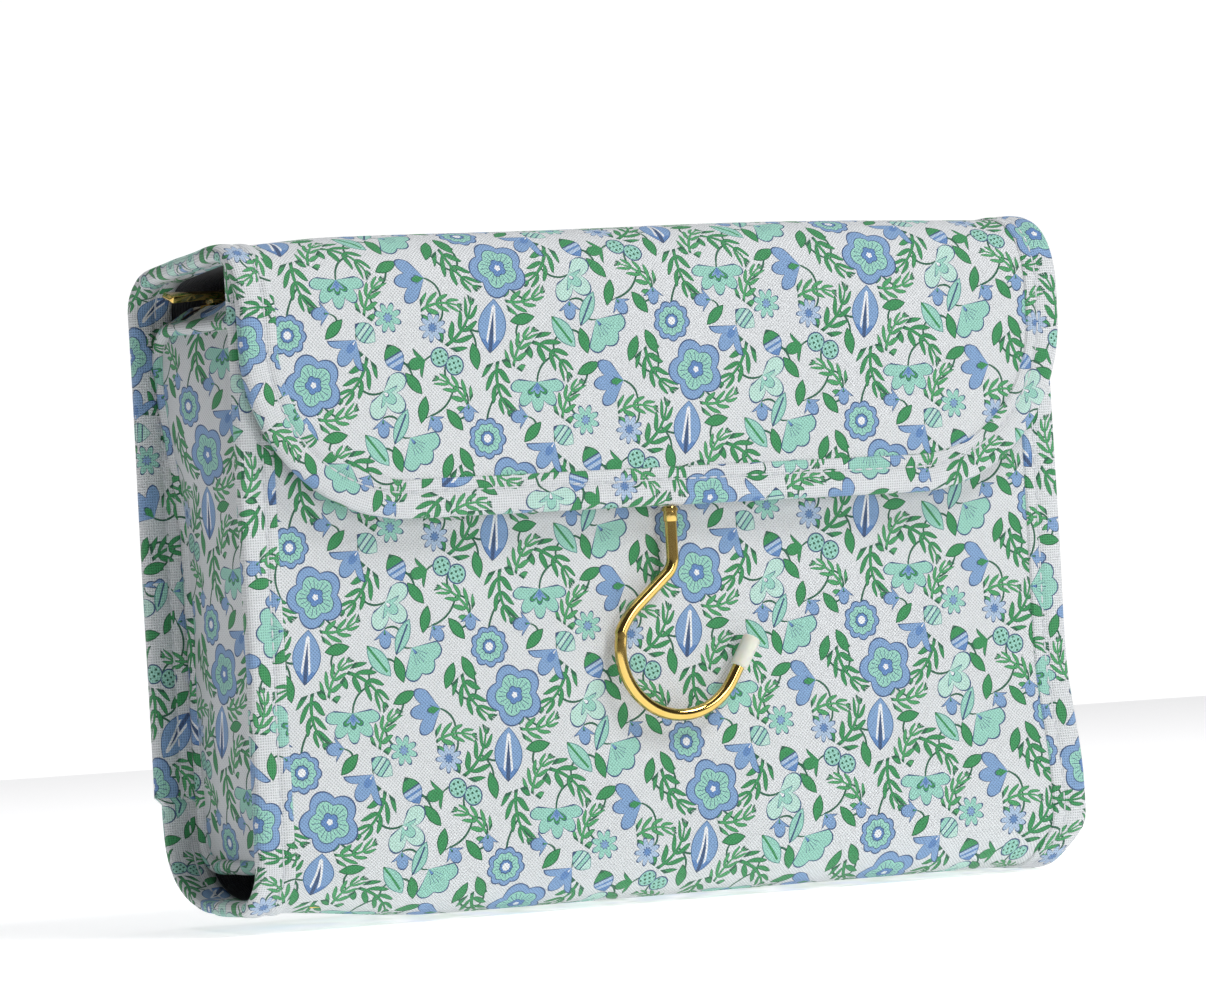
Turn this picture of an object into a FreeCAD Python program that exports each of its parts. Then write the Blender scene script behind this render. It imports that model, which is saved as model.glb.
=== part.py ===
import FreeCAD, Part
import math
import os
import Sketcher

# Hanging toiletry bag, closed, standing on its bottom.
# X runs across the bag, -Y is the front, +Z is up; the origin is under the middle of the bag.
# One long cover strip is folded round a zipped compartment: flap, top, back, bottom, front.
# Each stretch of the strip is a printed outer skin, a stiffener and a ribbed lining, and its
# edges are wrapped in a bias binding.

SIZES = {
    "bag_width": 264.0,
    "bag_depth": 78.0,
    "bag_height": 194.0,
    "skin_gauge": 0.8,
    "board_gauge": 1.2,
    "lining_gauge": 0.5,
    "binding_gauge": 0.6,
    "binding_width": 11.0,
    "fold_gap": 0.3,
    "flap_length": 81.5,
    "flap_corner": 50.0,
    "flap_standoff": 3.4,
    "front_board_top": 104.0,
    "front_top": 186.0,
    "case_inset": 11.0,
    "case_bottom": 13.0,
    "case_top": 176.0,
    "case_wall": 1.6,
    "case_corner": 10.0,
    "piping_width": 4.4,
    "pocket_depth": 5.0,
    "pocket_top": 99.0,
    "pocket_gap": 1.0,
    "pocket_inset": 14.0,
    "tape_gauge": 0.6,
    "tape_width": 5.4,
    "teeth_width": 4.2,
    "teeth_gauge": 1.8,
    "teeth_pitch": 3.0,
    "teeth_count": 71,
    "main_zip_back": 20.0,
    "zip_end": 115.0,
    "slider_length": 11.0,
    "slider_width": 6.6,
    "slider_plate": 1.1,
    "slider_room": 2.6,
    "slider_wedge_length": 2.6,
    "slider_wedge_half": 1.1,
    "teeth_lead": 7.5,
    "stop_inset": 1.5,
    "stop_left_length": 1.1,
    "stop_right_length": 1.6,
    "stop_gap": 0.4,
    "pin_inset": 7.0,
    "pin_radius": 0.7,
    "pin_lift": 1.7,
    "lug_half": 1.4,
    "lug_rise": 1.2,
    "lug_gap": 0.25,
    "lug_gauge": 1.0,
    "pull_length": 20.0,
    "pull_width": 6.6,
    "pull_gauge": 2.0,
    "pull_neck": 3.2,
    "pull_shank": 3.4,
    "barrel_wall": 0.65,
    "wire_radius": 1.75,
    "stem_length": 17.5,
    "stem_bend": 4.0,
    "loop_radius": 19.2,
    "loop_drop": 40.3,
    "loop_shift": 0.9,
    "entry_angle": 154.0,
    "exit_angle": 328.0,
    "entry_bend": 6.0,
    "entry_fall": 40.0,
    "tail_length": 13.5,
    "tip_length": 9.6,
    "tip_radius": 2.6,
    "tip_bore": 1.8,
    "collar_radius": 2.9,
    "collar_length": 4.4,
    "collar_wall": 0.45,
    "head_radius": 2.35,
    "head_thickness": 0.9,
    "running_fit": 0.08,
    "anchor_width": 24.0,
    "anchor_height": 12.0,
    "tongue_width": 7.0,
    "magnet_radius": 7.0,
    "magnet_spread": 80.0,
    "magnet_rise": 22.0,
}

doc = FreeCAD.newDocument("HangingToiletryBag")
sheet = doc.addObject("Spreadsheet::Sheet", "sizes")
for row, (alias, value) in enumerate(SIZES.items(), start=1):
    sheet.set(f"A{row}", alias)
    sheet.set(f"B{row}", str(value))
    sheet.setAlias(f"B{row}", alias)
doc.recompute()


def cell(alias):
    """The sheet's value of one driving dimension, as an expression."""
    return f"sizes.{alias}"


def total(*terms):
    """The sum of several expressions, in brackets."""
    return "(" + " + ".join(str(term) for term in terms) + ")"


def minus(expression):
    """An expression with its sign changed."""
    return f"(-1 * {expression})"


# Named planes of the bag, as expressions on the sheet.
STACK = total(cell("skin_gauge"), cell("board_gauge"), cell("lining_gauge"))
CORNER = total(STACK, cell("fold_gap"))
SIDE = f"({cell('bag_width')} / 2)"
SKIN_SIDE = total(SIDE, minus(cell("binding_gauge")))
BACK_SKIN = f"({cell('bag_depth')} / 2 - {cell('binding_gauge')})"
HOOK_PLANE = f"({cell('collar_radius')} - {cell('bag_depth')} / 2)"
FLAP_SKIN = f"({HOOK_PLANE} - {cell('skin_gauge')} - {cell('board_gauge')} / 2)"
FRONT_SKIN = total(FLAP_SKIN, STACK, cell("flap_standoff"))
TOP_SKIN = total(cell("bag_height"), minus(cell("binding_gauge")))
FLOOR_SKIN = cell("binding_gauge")
HEM = total(TOP_SKIN, minus(cell("flap_length")))
CASE_BACK = total(BACK_SKIN, minus(STACK))
CASE_FRONT = total(FRONT_SKIN, STACK, cell("pocket_depth"), cell("skin_gauge"), cell("pocket_gap"))
CASE_SIDE = total(SIDE, minus(cell("case_inset")))
CASE_WALL_SIDE = total(CASE_SIDE, minus(cell("piping_width")))

X_AXIS = FreeCAD.Vector(1, 0, 0)
Z_AXIS = FreeCAD.Vector(0, 0, 1)


def size_of(alias):
    """The sheet's value of one driving dimension, as a number of millimetres."""
    return float(sheet.get(alias))


def number(expression):
    """What an expression on the sheet comes to, for a shape that is made by Part's functions."""
    return float(sheet.evalExpression(expression))


def raw_box(name, x_span, y_span, z_span):
    """A box between pairs of expressions along each axis."""
    box = doc.addObject("Part::Box", name)
    for side, axis, (low, high) in zip(("Length", "Width", "Height"), "xyz", (x_span, y_span, z_span)):
        box.setExpression(side, f"{high} - {low}")
        box.setExpression(f".Placement.Base.{axis}", f"{low}")
    return box


NODES = []


def node(item, label):
    """Give a finished sub-part the name of its file."""
    item.Label = label
    NODES.append(item)
    return item


def plate(label, x_span, y_span, z_span):
    """A flat sub-part."""
    return node(raw_box(label, x_span, y_span, z_span), label)


def group(label, boxes):
    """Several separate small solids that make one sub-part."""
    compound = doc.addObject("Part::Compound", label)
    compound.Links = boxes
    return node(compound, label)


def channel(label, outer, slot):
    """A strip folded round an edge: a bar with a slot along it."""
    cut = doc.addObject("Part::Cut", label)
    cut.Base = raw_box(f"{label}_bar", *outer)
    cut.Tool = raw_box(f"{label}_slot", *slot)
    return node(cut, label)


def span(low, high):
    """A pair of expressions, low end first."""
    return (low, high)


def both_sides(half):
    """A span that is the same on both sides of the bag's middle."""
    return span(minus(half), half)


def layers(prefix, x_span, run, skin_at, inwards, run_axis):
    """The printed skin, stiffener and lining of one stretch of the cover.

    run is the stretch's span along run_axis, skin_at the plane of its outer skin, and inwards is
    1 or -1, the way from the skin to the lining.
    """
    depth = "0"
    for part_name, gauge in (("skin", "skin_gauge"), ("board", "board_gauge"), ("lining", "lining_gauge")):
        near = total(skin_at, f"{inwards} * {depth}")
        depth = total(depth, cell(gauge))
        far = total(skin_at, f"{inwards} * {depth}")
        across = span(near, far) if inwards > 0 else span(far, near)
        spans = (x_span, across, run) if run_axis == "z" else (x_span, run, across)
        plate(f"{prefix}_{part_name}", *spans)


def side_bindings(prefix, run, skin_at, inwards, run_axis):
    """The two bindings along the side edges of one stretch of the cover."""
    fold = cell("binding_gauge")
    outside = total(skin_at, f"{-inwards} * {fold}")
    inside = total(skin_at, f"{inwards} * {total(STACK, fold)}")
    far_skin = total(skin_at, f"{inwards} * {STACK}")
    legs = span(outside, inside) if inwards > 0 else span(inside, outside)
    stack = span(skin_at, far_skin) if inwards > 0 else span(far_skin, skin_at)
    leg_end = total(SIDE, minus(cell("binding_width")))
    for side, outer_x, slot_x in (
        ("left", span(minus(SIDE), minus(leg_end)), span(minus(SKIN_SIDE), minus(leg_end))),
        ("right", span(leg_end, SIDE), span(leg_end, SKIN_SIDE)),
    ):
        outer = (outer_x, legs, run) if run_axis == "z" else (outer_x, run, legs)
        slot = (slot_x, stack, run) if run_axis == "z" else (slot_x, run, stack)
        channel(f"{prefix}_binding_{side}", outer, slot)


def make_cover_panels():
    """The back, top, bottom and front stretches of the cover, each stiffened and bound."""
    fold_room = total(CORNER, cell("binding_gauge"))
    upright = span(total(FLOOR_SKIN, fold_room), total(TOP_SKIN, minus(fold_room)))
    layers("back", both_sides(SKIN_SIDE), upright, BACK_SKIN, -1, "z")
    side_bindings("back", upright, BACK_SKIN, -1, "z")

    top_run = span(total(FLAP_SKIN, fold_room), total(BACK_SKIN, minus(cell("binding_gauge"))))
    layers("top", both_sides(SKIN_SIDE), top_run, TOP_SKIN, -1, "y")
    side_bindings("top", top_run, TOP_SKIN, -1, "y")

    bottom_run = span(total(FRONT_SKIN, fold_room), total(BACK_SKIN, minus(cell("binding_gauge"))))
    layers("bottom", both_sides(SKIN_SIDE), bottom_run, FLOOR_SKIN, 1, "y")
    side_bindings("bottom", bottom_run, FLOOR_SKIN, 1, "y")

    front_run = span(total(FLOOR_SKIN, cell("binding_gauge")), cell("front_board_top"))
    layers("front", both_sides(SKIN_SIDE), front_run, FRONT_SKIN, 1, "z")
    side_bindings("front", front_run, FRONT_SKIN, 1, "z")


def new_body(label, plane_role, offset=None):
    """A PartDesign body, and a function that attaches a sketch to one of its origin planes."""
    body = doc.addObject("PartDesign::Body", label)
    plane = next(feature for feature in body.Origin.OriginFeatures if feature.Role == plane_role)
    if offset is not None:
        axis, expression = offset
        body.setExpression(f".Placement.Base.{axis}", expression)

    def new_sketch(name):
        sketch = body.newObject("Sketcher::SketchObject", f"{label}_{name}")
        sketch.AttachmentSupport = [(plane, "")]
        sketch.MapMode = "FlatFace"
        return sketch

    return body, new_sketch


def bind(sketch, constraint, name, expression):
    """Add a sized constraint to a sketch and drive it from the sheet."""
    index = sketch.addConstraint(constraint)
    sketch.renameConstraint(index, name)
    sketch.setExpression(f"Constraints.{name}", expression)


def rounded_outline(sketch, u_span, v_span, corners):
    """A rectangle between u and v spans, with a corner radius at each of its low or high ends.

    corners is (low_radius, high_radius): the radius expression of the two corners at the low and
    at the high end of v, or None for square corners.
    """
    low_u, high_u = (number(end) for end in u_span)
    low_v, high_v = (number(end) for end in v_span)
    vector = FreeCAD.Vector
    spots = [(low_u, low_v), (high_u, low_v), (high_u, high_v), (low_u, high_v)]
    radii = [corners[0], corners[0], corners[1], corners[1]]
    middles = [math.pi * 1.25, math.pi * 1.75, math.pi * 0.25, math.pi * 0.75]
    inward = [(1, 1), (-1, 1), (-1, -1), (1, -1)]
    lengths = [0.0 if radius is None else number(radius) for radius in radii]
    lines = []
    for index in range(4):
        along = (index + 1) % 4
        start, end = spots[index], spots[along]
        step = ((end[0] > start[0]) - (end[0] < start[0]), (end[1] > start[1]) - (end[1] < start[1]))
        first = vector(start[0] + step[0] * lengths[index], start[1] + step[1] * lengths[index], 0)
        last = vector(end[0] - step[0] * lengths[along], end[1] - step[1] * lengths[along], 0)
        lines.append(sketch.addGeometry(Part.LineSegment(first, last), False))
    for index in range(4):
        direction = "Horizontal" if index % 2 == 0 else "Vertical"
        sketch.addConstraint(Sketcher.Constraint(direction, lines[index]))
    for index, (spot, radius) in enumerate(zip(spots, radii)):
        before, after = lines[index - 1], lines[index]
        if radius is None:
            sketch.addConstraint(Sketcher.Constraint("Coincident", before, 2, after, 1))
            continue
        length = lengths[index]
        centre = vector(spot[0] + inward[index][0] * length, spot[1] + inward[index][1] * length, 0)
        circle = Part.Circle(centre, Z_AXIS, length)
        quarter = math.pi / 4
        arc = Part.ArcOfCircle(circle, middles[index] - quarter, middles[index] + quarter)
        arc_id = sketch.addGeometry(arc, False)
        sketch.addConstraint(Sketcher.Constraint("Tangent", before, 2, arc_id, 1))
        sketch.addConstraint(Sketcher.Constraint("Tangent", after, 1, arc_id, 2))
        bind(sketch, Sketcher.Constraint("Radius", arc_id, length), f"corner{index}", radius)
    origin = (-1, 1)
    bind(sketch, Sketcher.Constraint("DistanceX", *origin, lines[3], 1, low_u), "low_u", u_span[0])
    bind(sketch, Sketcher.Constraint("DistanceX", *origin, lines[1], 1, high_u), "high_u", u_span[1])
    bind(sketch, Sketcher.Constraint("DistanceY", *origin, lines[0], 1, low_v), "low_v", v_span[0])
    bind(sketch, Sketcher.Constraint("DistanceY", *origin, lines[2], 1, high_v), "high_v", v_span[1])


def pad(body, sketch, length, name, side="Symmetric", reverse=False):
    """Raise a sketch into a solid, or add to the body."""
    feature = body.newObject("PartDesign::Pad", name)
    feature.Profile = sketch
    feature.SideType = side
    feature.Reversed = reverse
    feature.setExpression("Length", length)
    doc.recompute()
    return feature


def pocket(body, sketch, length, name):
    """Cut a sketch out of the body, evenly to both sides of the sketch's plane."""
    before = body.Shape.Volume
    feature = body.newObject("PartDesign::Pocket", name)
    feature.Profile = sketch
    feature.SideType = "Symmetric"
    feature.setExpression("Length", length)
    doc.recompute()
    if not body.Shape.Volume < before:
        raise RuntimeError(f"{name} cuts nothing")
    return feature


def circle_pair(sketch, rise):
    """Two circles for the magnets, the same distance each side of the middle."""
    for side, sign in (("left", -1), ("right", 1)):
        middle = FreeCAD.Vector(sign * size_of("magnet_spread"), number(rise), 0)
        circle = sketch.addGeometry(Part.Circle(middle, Z_AXIS, size_of("magnet_radius")), False)
        bind(sketch, Sketcher.Constraint("Radius", circle, 1.0), f"radius_{side}", cell("magnet_radius"))
        across = f"{sign} * {cell('magnet_spread')}"
        bind(sketch, Sketcher.Constraint("DistanceX", -1, 1, circle, 3, 1.0), f"across_{side}", across)
        bind(sketch, Sketcher.Constraint("DistanceY", -1, 1, circle, 3, 1.0), f"rise_{side}", rise)


MAGNET_RISE = total(HEM, cell("magnet_rise"))
FLAP_RUN_TOP = total(TOP_SKIN, minus(cell("binding_gauge")))


def flap_outline(sketch, inset, top=FLAP_RUN_TOP):
    """The flap's outline, drawn in from its finished edge by an inset."""
    side = total(SIDE, minus(inset))
    rounding = total(cell("flap_corner"), minus(inset))
    rounded_outline(sketch, both_sides(side), span(total(HEM, inset), top), (rounding, None))


def make_flap():
    """The flap: skin, board and lining with rounded lower corners, and a binding round its edge."""
    fold = cell("binding_gauge")
    skin_mid = f"({HOOK_PLANE} - {cell('board_gauge')} / 2 - {cell('skin_gauge')} / 2)"
    lining_mid = f"({HOOK_PLANE} + {cell('board_gauge')} / 2 + {cell('lining_gauge')} / 2)"
    for label, middle, gauge in (
        ("flap_skin", skin_mid, "skin_gauge"),
        ("flap_lining", lining_mid, "lining_gauge"),
    ):
        body, new_sketch = new_body(label, "XZ_Plane", ("y", middle))
        outline = new_sketch("outline")
        flap_outline(outline, fold)
        pad(body, outline, cell(gauge), f"{label}_pad")
        node(body, label)

    body, new_sketch = new_body("flap_board", "XZ_Plane", ("y", HOOK_PLANE))
    outline = new_sketch("outline")
    flap_outline(outline, fold)
    pad(body, outline, cell("board_gauge"), "flap_board_pad")
    notch = new_sketch("anchor_notch")
    half_anchor = f"({cell('anchor_width')} / 2)"
    rounded_outline(
        notch,
        both_sides(half_anchor),
        span(HEM, total(HEM, fold, cell("anchor_height"))),
        (None, None),
    )
    pocket(body, notch, f"2 * {cell('board_gauge')}", "flap_board_notch")
    holes = new_sketch("magnet_holes")
    circle_pair(holes, MAGNET_RISE)
    pocket(body, holes, f"2 * {cell('board_gauge')}", "flap_board_holes")
    node(body, "flap_board")

    thickness = total(STACK, fold, fold)
    stack_mid = f"({FLAP_SKIN} + {STACK} / 2)"
    body, new_sketch = new_body("flap_binding", "XZ_Plane", ("y", stack_mid))
    outline = new_sketch("outline")
    flap_outline(outline, "0")
    pad(body, outline, thickness, "flap_binding_pad")
    inside = new_sketch("inside")
    past_top = total(FLAP_RUN_TOP, 5)
    flap_outline(inside, cell("binding_width"), past_top)
    pocket(body, inside, f"3 * {thickness}", "flap_binding_inside")
    slot = new_sketch("slot")
    flap_outline(slot, fold, past_top)
    pocket(body, slot, STACK, "flap_binding_slot")
    mouth = new_sketch("tongue_mouth")
    half_tongue = f"({cell('tongue_width')} / 2)"
    low_end = total(HEM, minus(fold))
    rounded_outline(mouth, both_sides(half_tongue), span(low_end, total(HEM, 2)), (None, None))
    pocket(body, mouth, STACK, "flap_binding_mouth")
    node(body, "flap_binding")

    magnets("flap_magnets", HOOK_PLANE, cell("board_gauge"))


def magnets(label, plane, thickness):
    """A left and a right disc magnet, standing in an XZ plane."""
    body, new_sketch = new_body(label, "XZ_Plane", ("y", plane))
    discs = new_sketch("discs")
    circle_pair(discs, MAGNET_RISE)
    body.AllowCompound = True
    pad(body, discs, thickness, f"{label}_pad")
    node(body, label)


def make_front_tuck():
    """The soft upper part of the front panel, which tucks up under the flap, and its magnets."""
    middle = f"({FRONT_SKIN} + {STACK} / 2)"
    body, new_sketch = new_body("front_tuck", "XZ_Plane", ("y", middle))
    outline = new_sketch("outline")
    low_end = total(cell("front_board_top"), cell("fold_gap"))
    rounded_outline(outline, both_sides(SKIN_SIDE), span(low_end, cell("front_top")), (None, None))
    pad(body, outline, STACK, "front_tuck_pad")
    holes = new_sketch("magnet_holes")
    circle_pair(holes, MAGNET_RISE)
    pocket(body, holes, f"2 * {STACK}", "front_tuck_holes")
    node(body, "front_tuck")
    magnets("front_magnets", middle, STACK)


def make_case():
    """The zipped compartment that is sewn to the back panel."""
    wall = cell("case_wall")
    wall_x = both_sides(CASE_WALL_SIDE)
    inner_front = total(CASE_FRONT, wall)
    zip_half = total(f"{cell('teeth_width')} / 2", cell("tape_width"))
    lid = span(total(cell("case_top"), minus(wall)), cell("case_top"))
    upright = span(cell("case_bottom"), cell("case_top"))
    plate("case_front", wall_x, span(CASE_FRONT, inner_front), upright)
    floor = span(cell("case_bottom"), total(cell("case_bottom"), wall))
    plate("case_base", wall_x, span(inner_front, CASE_BACK), floor)
    zip_front = total(cell("main_zip_back"), minus(zip_half))
    zip_rear = total(cell("main_zip_back"), zip_half)
    plate("case_top_front", wall_x, span(inner_front, zip_front), lid)
    plate("case_top_rear", wall_x, span(zip_rear, CASE_BACK), lid)

    pipe = cell("piping_width")
    half_pipe = f"({pipe} / 2)"
    for side, sign in (("left", -1), ("right", 1)):
        label = f"case_end_{side}"
        panel_x = f"({sign} * ({CASE_SIDE} - {half_pipe}))"
        body, new_sketch = new_body(label, "YZ_Plane", ("x", panel_x))
        outline = new_sketch("outline")
        rounded_outline(
            outline,
            span(total(CASE_FRONT, pipe), total(CASE_BACK, minus(pipe))),
            span(total(cell("case_bottom"), pipe), total(cell("case_top"), minus(pipe))),
            (total(cell("case_corner"), minus(half_pipe)), total(cell("case_corner"), minus(half_pipe))),
        )
        pad(body, outline, wall, f"{label}_pad")
        node(body, label)

        label = f"case_piping_{side}"
        body, new_sketch = new_body(label, "YZ_Plane", ("x", panel_x))
        route = new_sketch("route")
        rounded_outline(
            route,
            span(total(CASE_FRONT, half_pipe), total(CASE_BACK, minus(half_pipe))),
            span(total(cell("case_bottom"), half_pipe), total(cell("case_top"), minus(half_pipe))),
            (cell("case_corner"), cell("case_corner")),
        )
        section = body.newObject("Sketcher::SketchObject", f"{label}_section")
        plane = next(item for item in body.Origin.OriginFeatures if item.Role == "XY_Plane")
        section.AttachmentSupport = [(plane, "")]
        section.MapMode = "FlatFace"
        section.setExpression(".AttachmentOffset.Base.z", "(" + cell("case_bottom") + " + 80)")
        middle_y = total(CASE_FRONT, half_pipe)
        middle = FreeCAD.Vector(0, number(middle_y), 0)
        circle = section.addGeometry(Part.Circle(middle, Z_AXIS, size_of("piping_width") / 2), False)
        bind(section, Sketcher.Constraint("Radius", circle, 1.0), "radius", half_pipe)
        bind(section, Sketcher.Constraint("DistanceY", -1, 1, circle, 3, 1.0), "across", middle_y)
        section.addConstraint(Sketcher.Constraint("PointOnObject", circle, 3, -2))
        pipe_feature = body.newObject("PartDesign::AdditivePipe", f"{label}_pipe")
        pipe_feature.Profile = section
        pipe_feature.Spine = route
        doc.recompute()
        node(body, label)


def make_pocket():
    """The flat zipped pocket on the lining side of the front panel."""
    lining = total(FRONT_SKIN, STACK)
    outer = total(lining, cell("pocket_depth"))
    skin = cell("skin_gauge")
    half = total(SIDE, minus(cell("pocket_inset")), skin)
    zip_top = total(POCKET_ZIP, f"{cell('teeth_width')} / 2", f"{cell('tape_width')} / 3")
    plate("pocket_panel", both_sides(half), span(outer, total(outer, skin)), span(zip_top, cell("pocket_top")))
    upright = span(zip_top, cell("pocket_top"))
    group("pocket_gusset", [
        raw_box("pocket_gusset_left", span(minus(half), total(minus(half), skin)), span(lining, outer), upright),
        raw_box("pocket_gusset_right", span(total(half, minus(skin)), half), span(lining, outer), upright),
        raw_box(
            "pocket_gusset_top",
            both_sides(total(half, minus(skin))),
            span(lining, outer),
            span(total(cell("pocket_top"), minus(skin)), cell("pocket_top")),
        ),
    ])


POCKET_ZIP = f"({cell('case_bottom')} - 0.9 - {cell('slider_width')} / 2)"
POCKET_TAPE = total(FRONT_SKIN, STACK, cell("pocket_depth"), f"{cell('skin_gauge')} / 2")
MAIN_TAPE = total(cell("case_top"), f"-1 * {cell('case_wall')} / 2")


class Zip:
    """A zip that runs across the bag: two tapes, teeth, stops, a slider and its pull.

    The zip lies in one plane: "out" is the side the pull is on, and "over" is the direction
    across the tapes. Its slider rests at the left end.
    """

    def __init__(self, name, out_axis, tape_at, over_at, tape_width, low_name, high_name):
        self.name = name
        self.out_axis = out_axis
        self.tape_at = tape_at
        self.over_at = over_at
        self.tape_width = tape_width
        self.tape_names = (low_name, high_name)
        self.left_end = minus(total(cell("zip_end"), minus(cell("slider_length"))))

    def spans(self, x_span, over, out):
        """The three spans of a box given across the tapes and outwards, each from the middle."""
        over_span = span(total(self.over_at, over[0]), total(self.over_at, over[1]))
        out_span = span(total(self.tape_at, out[0]), total(self.tape_at, out[1]))
        return (x_span, over_span, out_span) if self.out_axis == "z" else (x_span, out_span, over_span)

    def box(self, label, x_span, over, out):
        """A box of the zip, given across its tapes and outwards."""
        return raw_box(label, *self.spans(x_span, over, out))

    def make_tapes(self):
        """The two woven tapes, one on each side of the teeth."""
        half_teeth = f"({cell('teeth_width')} / 2)"
        half_gauge = f"({cell('tape_gauge')} / 2)"
        edge = total(half_teeth, self.tape_width)
        across = both_sides(total(cell("zip_end"), cell("case_wall")))
        for label, over in zip(self.tape_names, (span(minus(edge), minus(half_teeth)), span(half_teeth, edge))):
            plate(label, *self.spans(across, over, both_sides(half_gauge)))

    def make_teeth(self):
        """One row of closed teeth, as a comb along a cord."""
        teeth_start = total(self.left_end, minus(cell("teeth_lead")))
        run = f"({cell('teeth_pitch')} * {cell('teeth_count')})"
        half_cord = f"({cell('teeth_gauge')} / 4)"
        half_width = f"({cell('teeth_width')} / 2)"
        cord = self.box(
            f"{self.name}_teeth_cord",
            span(teeth_start, total(teeth_start, run)),
            both_sides(f"({cell('teeth_width')} / 4)"),
            both_sides(half_cord),
        )
        tooth = self.box(
            f"{self.name}_tooth",
            span(teeth_start, total(teeth_start, f"{cell('teeth_pitch')} * 0.6")),
            both_sides(half_width),
            both_sides(f"({cell('teeth_gauge')} / 2)"),
        )
        doc.recompute()
        count = int(size_of("teeth_count"))
        step = X_AXIS * size_of("teeth_pitch")
        copies = [tooth.Shape.translated(step * index) for index in range(count)]
        teeth = doc.addObject("Part::Feature", f"{self.name}_teeth")
        teeth.Shape = cord.Shape.multiFuse(copies).removeSplitter()
        node(teeth, f"{self.name}_teeth")

    def make_stops(self):
        """The metal stops at both ends of the teeth."""
        left = minus(total(cell("zip_end"), cell("stop_inset")))
        run = f"{cell('teeth_pitch')} * {cell('teeth_count')}"
        right = total(self.left_end, minus(cell("teeth_lead")), run, cell("stop_gap"))
        left_span = span(left, total(left, cell("stop_left_length")))
        right_span = span(right, total(right, cell("stop_right_length")))
        half = f"({cell('teeth_width')} / 2)"
        thick = both_sides(f"({cell('teeth_gauge')} / 2)")
        group(f"{self.name}_stops", [
            self.box(f"{self.name}_stop_left", left_span, both_sides(half), thick),
            self.box(f"{self.name}_stop_right", right_span, both_sides(half), thick),
        ])

    def make_slider(self):
        """Two plates joined by a wedge between the rows of teeth, with lugs and a pin for the pull."""
        x_span = span(minus(cell("zip_end")), self.left_end)
        half = f"({cell('slider_width')} / 2)"
        room = f"({cell('slider_room')} / 2)"
        plate_top = total(room, cell("slider_plate"))
        pin_out = total(plate_top, cell("pin_lift"))
        wide = both_sides(half)
        wedge_x = span(x_span[0], total(x_span[0], cell("slider_wedge_length")))
        wedge_wide = both_sides(cell("slider_wedge_half"))
        pieces = [
            self.box(f"{self.name}_slider_outer", x_span, wide, span(room, plate_top)),
            self.box(f"{self.name}_slider_inner", x_span, wide, span(minus(plate_top), minus(room))),
            self.box(f"{self.name}_slider_wedge", wedge_x, wedge_wide, both_sides(room)),
        ]
        neck = f"({cell('pull_neck')} / 2)"
        pin_x = self.pin_place()
        lug_x = span(total(pin_x, minus(cell("lug_half"))), total(pin_x, cell("lug_half")))
        lug_out = span(plate_top, total(pin_out, cell("lug_rise")))
        near = total(neck, cell("lug_gap"))
        far = total(near, cell("lug_gauge"))
        pieces.append(self.box(f"{self.name}_slider_lug_low", lug_x, span(minus(far), minus(near)), lug_out))
        pieces.append(self.box(f"{self.name}_slider_lug_high", lug_x, span(near, far), lug_out))
        pin = self.cylinder(f"{self.name}_slider_pin", cell("pin_radius"), total(far, far), minus(far), pin_x, pin_out)
        fuse = doc.addObject("Part::MultiFuse", f"{self.name}_slider")
        fuse.Shapes = pieces + [pin]
        node(fuse, f"{self.name}_slider")

    def pin_place(self):
        """Where along the bag the pull's pin stands."""
        return total(minus(cell("zip_end")), cell("pin_inset"))

    def cylinder(self, label, radius, length, start, pin_x, out):
        """A round bar across the tapes, at a place along the bag and a height outwards."""
        bar = doc.addObject("Part::Cylinder", label)
        bar.setExpression("Radius", radius)
        bar.setExpression("Height", length)
        if self.out_axis == "z":
            bar.Placement = FreeCAD.Placement(FreeCAD.Vector(), FreeCAD.Rotation(X_AXIS, -90))
            over_axis = "y"
        else:
            over_axis = "z"
        bar.setExpression(".Placement.Base.x", pin_x)
        bar.setExpression(f".Placement.Base.{over_axis}", total(self.over_at, start))
        bar.setExpression(f".Placement.Base.{self.out_axis}", total(self.tape_at, out))
        return bar

    def make_pull(self):
        """A flat tab with a bevelled end, and a barrel that turns on the slider's pin."""
        neck = f"({cell('pull_neck')} / 2)"
        pin_x = self.pin_place()
        plate_top = total(f"{cell('slider_room')} / 2", cell("slider_plate"))
        pin_out = total(plate_top, cell("pin_lift"))
        half_gauge = f"({cell('pull_gauge')} / 2)"
        flat = span(total(pin_out, minus(half_gauge)), total(pin_out, half_gauge))
        barrel_radius = total(cell("pin_radius"), cell("barrel_wall"))
        tip = total(pin_x, minus(cell("pull_length")))
        tab_start = total(pin_x, minus(cell("pull_shank")))
        barrel = self.cylinder(f"{self.name}_pull_barrel", barrel_radius, cell("pull_neck"), minus(neck), pin_x, pin_out)
        shank = self.box(f"{self.name}_pull_shank", span(tab_start, pin_x), both_sides(neck), flat)
        tab = self.box(f"{self.name}_pull_tab", span(tip, tab_start), both_sides(f"({cell('pull_width')} / 2)"), flat)
        solid = doc.addObject("Part::MultiFuse", f"{self.name}_pull_solid")
        solid.Shapes = [barrel, shank, tab]
        bore_radius = total(cell("pin_radius"), cell("running_fit"))
        reach = f"({cell('pull_neck')} + 2)"
        bore = self.cylinder(
            f"{self.name}_pull_bore", bore_radius, reach, f"(-0.5 * {reach})", pin_x, pin_out)
        cut = doc.addObject("Part::Cut", f"{self.name}_pull_bored")
        cut.Base = solid
        cut.Tool = bore
        doc.recompute()
        end = min(vertex.Point.x for vertex in cut.Shape.Vertexes)
        bevelled = [
            (index, size_of("pull_gauge") * 0.4, size_of("pull_gauge") * 0.4)
            for index, edge in enumerate(cut.Shape.Edges, start=1)
            if all(abs(vertex.Point.x - end) < 1e-6 for vertex in edge.Vertexes)
        ]
        chamfer = doc.addObject("Part::Chamfer", f"{self.name}_pull")
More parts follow.
